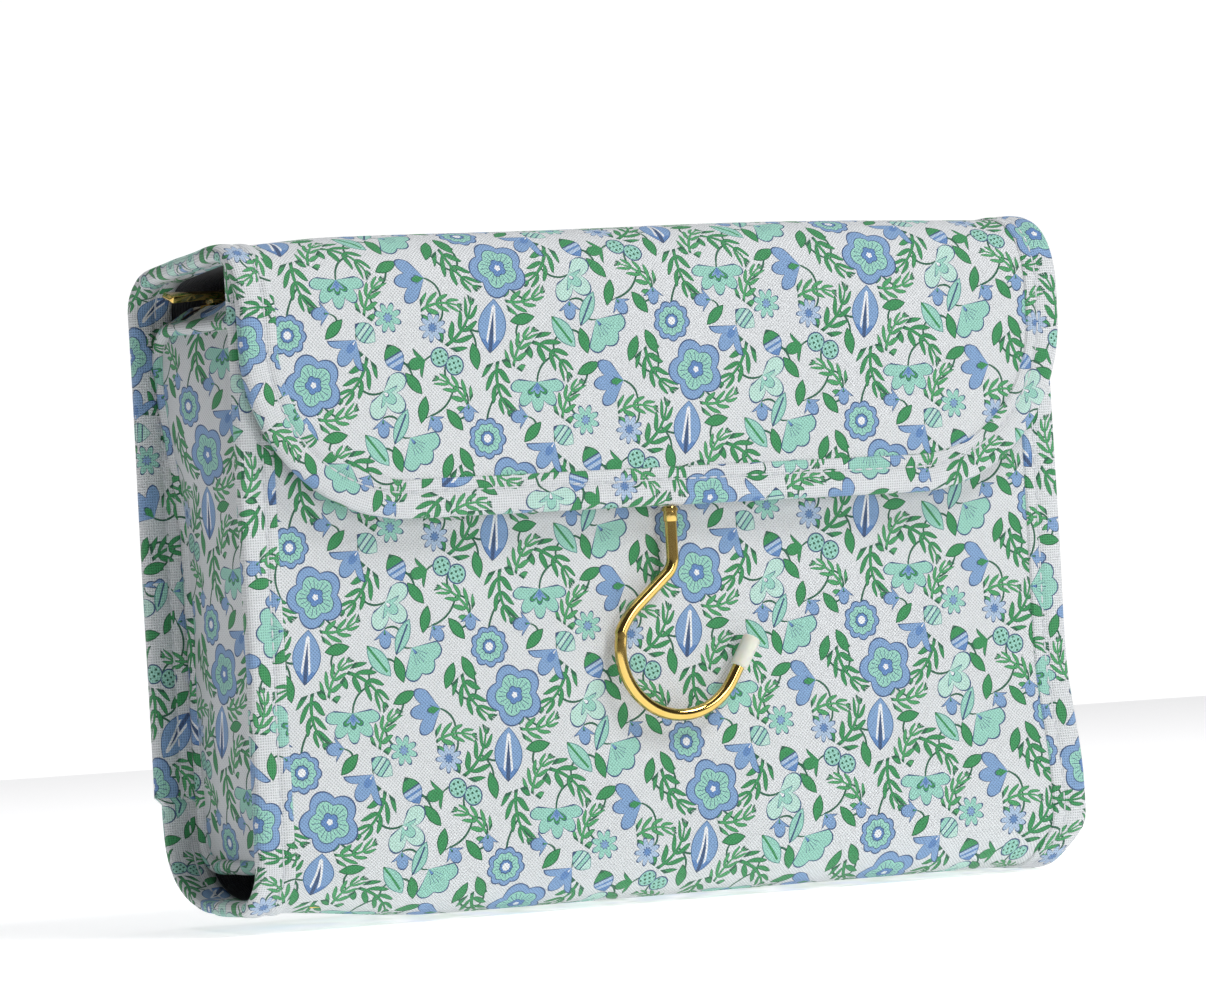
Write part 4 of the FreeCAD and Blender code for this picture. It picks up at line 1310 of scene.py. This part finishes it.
@dataclass
class Compartment:
    """The zipped box of soft printed cloth in the middle, piped round both ends."""

    wardrobe: Wardrobe
    wall: float = 1.6
    corner: float = 11.0
    piping: float = 2.2
    half_gap: float = 2.7
    swell: float = 4.4
    tape_gauge: float = 0.55

    def __post_init__(self) -> None:
        """Reads the box from the frame."""
        low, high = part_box("case_front")
        _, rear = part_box("case_top_rear")
        self.front = low.y / MM
        self.back = rear.y / MM - 0.3
        self.low = low.z / MM
        self.high = rear.z / MM
        pipe_low, pipe_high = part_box("case_piping_right")
        self.seam = (pipe_low.x + pipe_high.x) / 2 / MM
        tape_low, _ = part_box("main_tape_front")
        _, tape_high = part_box("main_tape_rear")
        self.zip_line = (tape_low.y + tape_high.y) / 2 / MM

    def loop(self, inset: float, count: int) -> tuple[np.ndarray, np.ndarray]:
        """Evenly spaced points round the box's section, down its front first.

        Args:
            inset: How far inside the box they lie.
            count: How many; the last is the first again.

        Returns:
            The points and their outward directions, as Y and Z.
        """
        front, back, low, high = self.front + inset, self.back - inset, self.low + inset, self.high - inset
        radius = max(self.corner - inset, 1.0)
        spots, faces = [], []
        corners = [
            (front + radius, high - radius, 90), (front + radius, low + radius, 180),
            (back - radius, low + radius, 270), (back - radius, high - radius, 0)]
        for centre_y, centre_z, angle in corners:
            for turn in np.linspace(0, 90, 13):
                heading = math.radians(angle + turn)
                spots.append((centre_y + radius * math.cos(heading), centre_z + radius * math.sin(heading)))
                faces.append((math.cos(heading), math.sin(heading)))
        ring, out = np.array(spots), np.array(faces)
        ring, out = np.concatenate([ring, ring[:1]]), np.concatenate([out, out[:1]])
        travel = np.concatenate([[0.0], np.cumsum(np.linalg.norm(np.diff(ring, axis=0), axis=1))])
        where = np.linspace(0.0, travel[-1], count)
        place = np.stack([np.interp(where, travel, ring[:, axis]) for axis in (0, 1)], -1)
        face = np.stack([np.interp(where, travel, out[:, axis]) for axis in (0, 1)], -1)
        return place, face / np.linalg.norm(face, axis=1, keepdims=True)

    def drape(self, points: np.ndarray) -> np.ndarray:
        """The soft shape of the box: its top falls towards the ends, and its ends lean out at the upper back.

        Args:
            points: Places on the plain box, in millimetres.

        Returns:
            The same places on the soft one.
        """
        x, y, z = points[..., 0], points[..., 1], points[..., 2]
        side = np.abs(x)
        top = smooth((z - 150) / 26)
        ends_down = 4.5 * smooth((side - 111.5) / 8) * top
        crest = 2.8 * smooth((z - 166) / 10) * smooth((121.5 - side) / 7)
        crest *= smooth((11.5 - y) / 12) * smooth((y + 24) / 8)
        feet_up = (2.4 + 0.8 * np.sign(x)) * smooth((side - 92) / 26) * smooth((34 - z) / 22)
        lean = 6.0 * smooth((z - 105) / 60) * smooth((y + 14) / 40) * smooth((side - 96) / 22)
        wave = 0.3 * np.sin(x / 13 + z / 29) * np.sin(z / 17 + 0.8)
        return points + np.stack([np.sign(x) * lean, wave * (1 - top), crest + feet_up - ends_down], -1)

    def band(self) -> bpy.types.Object:
        """The wall that runs from one side of the zip all the way round to the other."""
        lip = np.linspace(self.zip_line - self.half_gap, self.front + self.corner, 14)[:-1]
        ring, out = self.ring_without_top(*self.loop(0.0, 150))
        ring = np.concatenate([np.stack([lip, np.full_like(lip, self.high)], -1), ring])
        out = np.concatenate([np.tile([[0.0, 1.0]], (len(lip), 1)), out])
        across = np.linspace(-self.seam, self.seam, 81)
        travel = np.concatenate([[0.0], np.cumsum(np.linalg.norm(np.diff(ring, axis=0), axis=1))])
        grid = np.zeros((len(ring), len(across), 3))
        grid[..., 0] = across[None, :]
        grid[..., 1] = ring[:, None, 0]
        grid[..., 2] = ring[:, None, 1]
        inward = np.zeros_like(grid)
        inward[..., 1] = out[:, None, 0]
        inward[..., 2] = out[:, None, 1]
        cloth = np.stack(np.meshgrid(across, travel + 11.0), -1)
        self.band_length = float(travel[-1])
        return slab("compartment_wall", self.drape(grid), self.drape(grid - inward * self.wall), cloth)

    def ring_without_top(self, place: np.ndarray, face: np.ndarray) -> tuple[np.ndarray, np.ndarray]:
        """The ring down the front, under and up the back, as far as the zip."""
        rear = self.zip_line + self.half_gap
        high = place[:, 1] > self.high - 0.01
        keep = ~(high & (place[:, 0] < rear) & (np.arange(len(place)) > 20))
        ring, out = place[keep], face[keep]
        ring = np.concatenate([ring, [[rear, self.high]]])
        return ring, np.concatenate([out, [[0.0, 1.0]]])

    def end(self, side: Edge) -> bpy.types.Object:
        """A soft end panel, which swells a little between its piped seams."""
        ring, _ = self.loop(0.6, 121)
        ring = ring[:-1]
        centre = np.array([(self.front + self.back) / 2, (self.low + self.high) / 2])
        shells = np.concatenate([[0.04], np.linspace(0.12, 1.0, 14)])
        grids = []
        for depth in (0.0, self.wall):
            rows = []
            for shell in shells:
                flat = centre + (ring - centre) * shell
                reach = np.minimum(np.minimum(flat[:, 0] - self.front, self.back - flat[:, 0]), 20) / 20
                tall = np.minimum(np.minimum(flat[:, 1] - self.low, self.high - flat[:, 1]), 34) / 34
                swell = self.swell * np.sqrt(np.clip(reach, 0, 1)) * np.sqrt(np.clip(tall, 0, 1))
                pucker = 0.35 * np.sin(flat[:, 1] / 7.0 + 2.0 * np.sin(flat[:, 0] / 9.0))
                pucker = pucker * np.clip(1 - reach, 0, 1) * np.clip(reach * 4, 0, 1)
                x = self.seam - 1.0 + swell + pucker - depth
                rows.append(np.stack([side.value * x, flat[:, 0], flat[:, 1]], -1))
            grids.append(np.array(rows))
        outer, inner = (self.drape(grid) for grid in grids)
        rows, around = outer.shape[:2]
        index = np.arange(rows * around).reshape(rows, around)
        nxt = np.roll(index, -1, 1)
        skin = np.stack([index[:-1], nxt[:-1], nxt[1:], index[1:]], -1).reshape(-1, 4).tolist()
        shift = rows * around
        under = [[corner + shift for corner in face[::-1]] for face in skin]
        rim = np.stack([index[-1], nxt[-1], nxt[-1] + shift, index[-1] + shift], -1).tolist()
        caps = [index[0].tolist(), (index[0][::-1] + shift).tolist()]
        points = np.concatenate([outer.reshape(-1, 3), inner.reshape(-1, 3)])
        flat = np.stack([points[:, 1] * side.value + 17.0, points[:, 2] + 29.0], -1)
        label = side.name.lower()
        return new_object(f"compartment_end_{label}", points, skin + under + rim + caps, flat)

    def piping_tube(self, side: Edge) -> bpy.types.Object:
        """The round piping along an end's seam."""
        ring, out = self.loop(self.piping - 0.2, 201)
        ring, out = ring[:-1], out[:-1]
        turns = np.radians(np.linspace(0, 360, 15)[:-1])
        travel = np.arange(len(ring)) * 2.1
        plump = self.piping * (1 + 0.03 * np.sin(travel / 2.3) + 0.03 * np.sin(travel / 7.7))
        rings = np.zeros((len(ring), len(turns), 3))
        rings[..., 0] = side.value * self.seam + np.cos(turns)[None] * plump[:, None]
        for axis in (0, 1):
            rings[..., axis + 1] = ring[:, None, axis] + out[:, None, axis] * np.sin(turns)[None] * plump[:, None]
        around = turns * self.piping
        cloth = np.stack([
            (travel[:, None] + around[None]) * math.sqrt(0.5), (travel[:, None] - around[None]) * math.sqrt(0.5)], -1)
        return sweep(f"compartment_piping_{side.name.lower()}", self.drape(rings), cloth, closed=True)

    def tape(self, rear: bool) -> bpy.types.Object:
        """One zip tape, folded under along the edge of the cloth."""
        node = "main_tape_rear" if rear else "main_tape_front"
        low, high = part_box(node)
        across = np.linspace(low.x / MM, high.x / MM, 90)
        over = np.linspace(low.y / MM, high.y / MM, 7)
        grid = np.zeros((len(over), len(across), 3))
        grid[..., 0] = across[None]
        grid[..., 1] = over[:, None]
        crest = np.array([0.0, 0.16, 0.05, 0.0, 0.05, 0.16, 0.0])
        grid[..., 2] = high.z / MM + crest[:, None] * 0.6
        under = grid.copy()
        under[..., 2] -= self.tape_gauge
        cloth = np.stack(np.meshgrid(across, over), -1)
        return slab(f"{node}_cloth", self.drape(grid), self.drape(under), cloth)

    def build(self) -> None:
        """Makes the compartment."""
        band = dress(self.band(), self.wardrobe.print)
        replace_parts(band, "case_front", "case_base", "case_top_front", "case_top_rear")
        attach(band, "back")
        for side in Edge:
            label = side.name.lower()
            end = dress(self.end(side), self.wardrobe.print)
            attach(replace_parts(end, f"case_end_{label}"), "back")
            pipe = dress(self.piping_tube(side), self.wardrobe.print)
            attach(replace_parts(pipe, f"case_piping_{label}"), "back")
            log.info("compartment end %s made", label)
        for rear in (False, True):
            tape = dress(self.tape(rear), self.wardrobe.tape)
            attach(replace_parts(tape, "main_tape_rear" if rear else "main_tape_front"), "back")
        log.info("compartment made")


@dataclass
class Pocket:
    """The flat zipped pocket of lining on the front panel's inner side."""

    wardrobe: Wardrobe
    gauge: float = 0.6
    swell: float = 0.25

    def build(self) -> None:
        """Makes the pocket's panel and its side strip."""
        low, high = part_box("pocket_panel")
        across = np.linspace(low.x / MM, high.x / MM, 80)
        up = np.linspace(low.z / MM, high.z / MM, 34)
        grid = np.zeros((len(up), len(across), 3))
        grid[..., 0] = across[None]
        grid[..., 2] = up[:, None]
        wave = np.sin(across / 37)[None] * np.sin(up / 21 + 0.5)[:, None]
        grid[..., 1] = high.y / MM + (wave - 1) * self.swell
        under = grid.copy()
        under[..., 1] -= self.gauge
        panel = slab("pocket_cloth", grid, under, np.stack(np.meshgrid(across, up), -1))
        dress(panel, self.wardrobe.lining)
        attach(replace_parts(panel, "pocket_panel"), "front")
        gusset = bevelled_copy("pocket_gusset_cloth", "pocket_gusset", 0.25, 2)
        layer = gusset.data.uv_layers.new(name=CLOTH_LAYER)
        for loop in gusset.data.loops:
            spot = gusset.data.vertices[loop.vertex_index].co
            layer.data[loop.index].uv = (spot.x + spot.y, spot.z)
        dress(gusset, self.wardrobe.lining)
        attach(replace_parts(gusset, "pocket_gusset"), "front")
        for node in ("pocket_tape_low", "pocket_tape_high"):
            tape = dress(bevelled_copy(f"{node}_cloth", node, 0.12, 2), self.wardrobe.tape)
            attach(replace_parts(tape, node), "front")
        log.info("pocket made")


# ---------------------------------------------------------------- metalwork


@dataclass
class Hook:
    """The swivel hook: a bent gold wire, its collar and a soft tip."""

    wardrobe: Wardrobe
    wire: float = 1.75
    stem: float = 17.5
    stem_bend: float = 4.0
    slope: float = 40.0
    entry: float = 154.0
    leave: float = 328.0
    loop_radius: float = 19.2
    loop_drop: float = 40.3
    loop_shift: float = 0.9
    entry_bend: float = 6.0
    tail: float = 13.5
    tip: float = 9.6
    tip_radius: float = 2.6
    sleeve: float = 2.0
    stem_ease: float = 1.2
    entry_ease: float = 3.6

    def route(self) -> list[Pair]:
        """The wire's centre line, across and up from the hem."""
        centre = np.array([self.loop_shift, -self.loop_drop])
        fall = -self.heading(self.slope)
        knee = np.array([0.0, -self.stem])
        entry = centre + self.loop_radius * self.heading(self.entry)
        onto = self.heading(self.entry + 90)
        reach = np.linalg.solve(np.stack([fall, onto], 1), entry - knee)
        corner = knee + fall * reach[0]
        down = np.array([0.0, -1.0])
        cut = self.stem_bend * math.tan(math.radians(90 - self.slope) / 2) + self.stem_ease
        points = [down, *self.bend(knee, down, fall, cut, 9)]
        turn = math.acos(float(np.clip(fall @ onto, -1, 1)))
        cut = self.entry_bend * math.tan(turn / 2) + self.entry_ease
        points += self.bend(corner, fall, onto, cut, 17)
        angles = np.linspace(self.entry + 14, self.leave, 64)
        points += [centre + self.loop_radius * self.heading(angle) for angle in angles]
        points.append(points[-1] + self.tail * self.heading(self.leave + 90))
        return [(float(x), float(z)) for x, z in points]

    @staticmethod
    def heading(angle: float) -> np.ndarray:
        """The direction at an angle in degrees."""
        return np.array([math.cos(math.radians(angle)), math.sin(math.radians(angle))])

    @staticmethod
    def bend(corner: np.ndarray, into: np.ndarray, out: np.ndarray, cut: float, count: int) -> list[np.ndarray]:
        """A rounded corner between two directions."""
        start, finish = corner - into * cut, corner + out * cut
        steps = np.linspace(0, 1, count)
        return [(1 - t) ** 2 * start + 2 * t * (1 - t) * corner + t * t * finish for t in steps]

    def bar(self, line: Sequence[Vector]) -> bpy.types.Object:
        """The round bar along a line, drawn as a curve and made a mesh."""
        bpy.ops.object.select_all(action="DESELECT")
        bpy.ops.curve.primitive_bezier_curve_add(radius=1.0)
        bar = bpy.context.object
        bar.name = "hook_bar"
        bar.data.splines.clear()
        spline = bar.data.splines.new("POLY")
        spline.points.add(len(line) - 1)
        for point, place in zip(spline.points, line):
            point.co = (*place, 1.0)
        bar.data.dimensions = "3D"
        bar.data.bevel_depth = self.wire * MM
        bar.data.bevel_resolution = 6
        bar.data.use_fill_caps = True
        bar.select_set(True)
        bpy.ops.object.convert(target="MESH")
        bar = bpy.context.object
        bpy.ops.object.mode_set(mode="EDIT")
        bpy.ops.mesh.select_all(action="SELECT")
        bpy.ops.mesh.remove_doubles(threshold=0.00001)
        bpy.ops.mesh.normals_make_consistent(inside=False)
        bpy.ops.object.mode_set(mode="OBJECT")
        smooth_faces(bar, 50)
        bar.data.name = bar.name
        return bar

    def build(self) -> None:
        """Makes the bar, the slim sleeve that it turns in, and its soft cap."""
        low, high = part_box("hook_collar")
        _, bar_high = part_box("hook_wire")
        plane = (low.y + high.y) / 2
        line = [Vector((x * MM, plane, high.z + z * MM)) for x, z in self.route()]
        line[0] = Vector((0.0, plane, bar_high.z))
        bar = dress(self.bar(line), self.wardrobe.gold)
        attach(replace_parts(bar, "hook_wire"), "hook")
        size = (self.sleeve * MM, high.z - low.z)
        sleeve = turned_rod("hook_ferrule", (0.0, plane, (low.z + high.z) / 2), Vector((0, 0, 1)), size, 0.22, 3)
        dress(sleeve, self.wardrobe.gold)
        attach(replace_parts(sleeve, "hook_collar"), "flap")
        away = (line[-1] - line[-2]).normalized()
        end = line[-1] + away * (self.tip_radius - self.wire) * 0.4 * MM
        size = (self.tip_radius * MM, self.tip * MM)
        cap = turned_rod("hook_cap", end - away * (self.tip / 2) * MM, away, size, 0.7, 4)
        dress(cap, self.wardrobe.rubber)
        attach(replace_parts(cap, "hook_tip"), "hook")
        log.info("hook made")


@dataclass
class Fasteners:
    """Sliders, pulls, teeth, stops and magnets."""

    wardrobe: Wardrobe
    magnet_gauge: float = 1.0
    disc_play: float = 0.2
    tab_twist: float = 14.0
    tab_sag: float = 0.8
    eye_length: float = 4.5
    neck_length: float = 1.2

    def twist(self, piece: bpy.types.Object) -> None:
        """Twists a pull's tab a little about its length, as stamped metal that hangs loose on its pin does."""
        points = np.array([vertex.co[:] for vertex in piece.data.vertices])
        low, high = points.min(0), points.max(0)
        heights = points[points[:, 0] < low[0] + 0.6 * (high[0] - low[0])][:, 2]
        middle_y, middle_z = (low[1] + high[1]) / 2, (heights.min() + heights.max()) / 2
        share = smooth((high[0] - points[:, 0] - self.eye_length * MM) / (self.neck_length * MM))
        turn = math.radians(self.tab_twist) * share
        y, z = points[:, 1] - middle_y, points[:, 2] - middle_z
        points[:, 1] = middle_y + y * np.cos(turn) - z * np.sin(turn)
        points[:, 2] = middle_z + y * np.sin(turn) + z * np.cos(turn) - self.tab_sag * MM * share
        piece.data.vertices.foreach_set("co", points.ravel())
        piece.data.update()

    def build(self) -> None:
        """Dresses the zips and magnets."""
        for zip_name, carrier in (("main", "back"), ("pocket", "front")):
            for part, width in (("slider", 0.28), ("pull", 0.3)):
                body = f"{zip_name}_{part}"
                piece = dress(bevelled_copy(f"{body}_cast", body, width), self.wardrobe.gold)
                if body == "main_pull":
                    self.twist(piece)
                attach(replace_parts(piece, body), body)
            for part in ("teeth", "stops"):
                node = f"{zip_name}_{part}"
                piece = dress(bevelled_copy(f"{node}_cast", node, 0.18, 1), self.wardrobe.teeth)
                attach(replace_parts(piece, node), carrier)
        self.magnets()
        for node, material in (
            ("flap_magnets", self.wardrobe.steel),
            ("hook_head", self.wardrobe.gold),
            ("hook_anchor", self.wardrobe.board),
        ):
            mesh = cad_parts[node].data
            mesh.materials.clear()
            mesh.materials.append(material)
        log.info("fasteners made")

    def magnets(self) -> None:
        """Makes the two thin discs inside the front panel's upper end."""
        low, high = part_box("front_magnets")
        radius = (high.z - low.z) / 2
        discs = []
        for side in Edge:
            middle = (side.value * (high.x - radius), (low.y + high.y) / 2, (low.z + high.z) / 2)
            size = (radius - self.disc_play * MM, self.magnet_gauge * MM)
            disc = turned_rod(
                f"front_magnet_{side.name.lower()}", middle, Vector((0, -1, 0)), size, 0.2, 2, sides=48
            )
            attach(dress(disc, self.wardrobe.steel), "front")
            discs.append(disc)
        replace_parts(discs[0], "front_magnets")


# ---------------------------------------------------------------- studio


@dataclass
class Studio:
    """A plain white room, soft lights and the camera."""

    azimuth: float = -27.72
    elevation: float = -0.27
    roll: float = -3.13
    distance: float = 2.0
    lens: float = 206.4
    slide: Pair = (-0.00304, 0.0178)
    aim: float = 0.097
    floor_size: float = 2.8
    sky: tuple[Grey, ...] = ((0.5, 1.05), (0.56, 1.0), (0.62, 0.2), (0.85, 0.3), (1.0, 0.5))
    walls: tuple[Grey, ...] = ((0.0, 0.2), (0.9, 1.0))

    def camera(self) -> None:
        """Sets the camera up."""
        turn, tilt, roll = (math.radians(value) for value in (self.azimuth, self.elevation, self.roll))
        back = Vector((math.sin(turn) * math.cos(tilt), -math.cos(turn) * math.cos(tilt), math.sin(tilt)))
        right = (-back).cross(Vector((0, 0, 1))).normalized()
        up = right.cross(-back)
        level, rise = math.cos(roll) * right + math.sin(roll) * up, -math.sin(roll) * right + math.cos(roll) * up
        data = bpy.data.cameras.new("view")
        data.lens, data.sensor_width, data.clip_end = self.lens, 36.0, 20.0
        camera = bpy.data.objects.new("view", data)
        bpy.context.scene.collection.objects.link(camera)
        place = Vector((0, 0, self.aim)) + back * self.distance + level * self.slide[0] + rise * self.slide[1]
        turned = Matrix((level, rise, back)).transposed()
        camera.matrix_world = Matrix.Translation(place) @ turned.to_4x4()
        bpy.context.scene.camera = camera

    @staticmethod
    def softbox(name: str, place: Sequence[float], size: Pair, power: float) -> None:
        """A soft rectangular light aimed at the bag's middle.

        Args:
            name: The light's name.
            place: Where it stands, in metres.
            size: Its width and height, in metres.
            power: Its power in watts.
        """
        data = bpy.data.lights.new(name, "AREA")
        data.shape, data.size, data.size_y, data.energy = "RECTANGLE", size[0], size[1], power
        lamp = bpy.data.objects.new(name, data)
        bpy.context.scene.collection.objects.link(lamp)
        lamp.location = place
        lamp.rotation_euler = (Vector((0, 0, 0.1)) - Vector(place)).to_track_quat("-Z", "Y").to_euler()

    def room(self) -> None:
        """A white floor and white surroundings, darker overhead and behind the camera."""
        bpy.ops.object.select_all(action="DESELECT")
        bpy.ops.mesh.primitive_grid_add(
            x_subdivisions=4, y_subdivisions=4, size=self.floor_size, location=(0, 0, -0.0008)
        )
        floor = bpy.context.object
        floor.name = "floor"
        white = (1.0, 1.0, 1.0, 1.0)
        kit = Kit("white floor")
        kit.finish(Base_Color=(0.92, 0.92, 0.925, 1.0), Roughness=0.9, Emission_Color=white, Emission_Strength=0.52)
        floor.data.materials.append(kit.material)
        sky = SkyKit("studio")
        where = sky.node("ShaderNodeTexCoord")
        height = sky.split(where)[2].times_plus(0.5, 0.5)
        turn = math.radians(self.azimuth)
        ahead = sky.vector("DOT_PRODUCT", where, (-math.sin(turn), math.cos(turn), 0.0), out=1)
        sky.light(sky.times(sky.greys(height, self.sky), sky.greys(ahead, self.walls)))
        bpy.context.scene.view_settings.view_transform = "Standard"

    def build(self) -> None:
        """Makes the studio."""
        self.room()
        self.softbox("key", (0.7, -1.0, 1.7), (0.7, 0.7), 23)
        self.softbox("front", (0.5, -2.2, 0.7), (0.5, 0.8), 10.5)
        self.softbox("top", (-0.2, 0.1, 1.6), (1.0, 0.9), 8)
        self.camera()
        log.info("studio made")


def main() -> None:
    """Builds the bag in order and reports each piece."""
    logging.basicConfig(level=logging.INFO, format="%(message)s")
    wardrobe = Wardrobe()
    Studio().build()
    Cover(wardrobe).build()
    Compartment(wardrobe).build()
    Pocket(wardrobe).build()
    Hook(wardrobe).build()
    Fasteners(wardrobe).build()


if __name__ == "__main__":
    main()
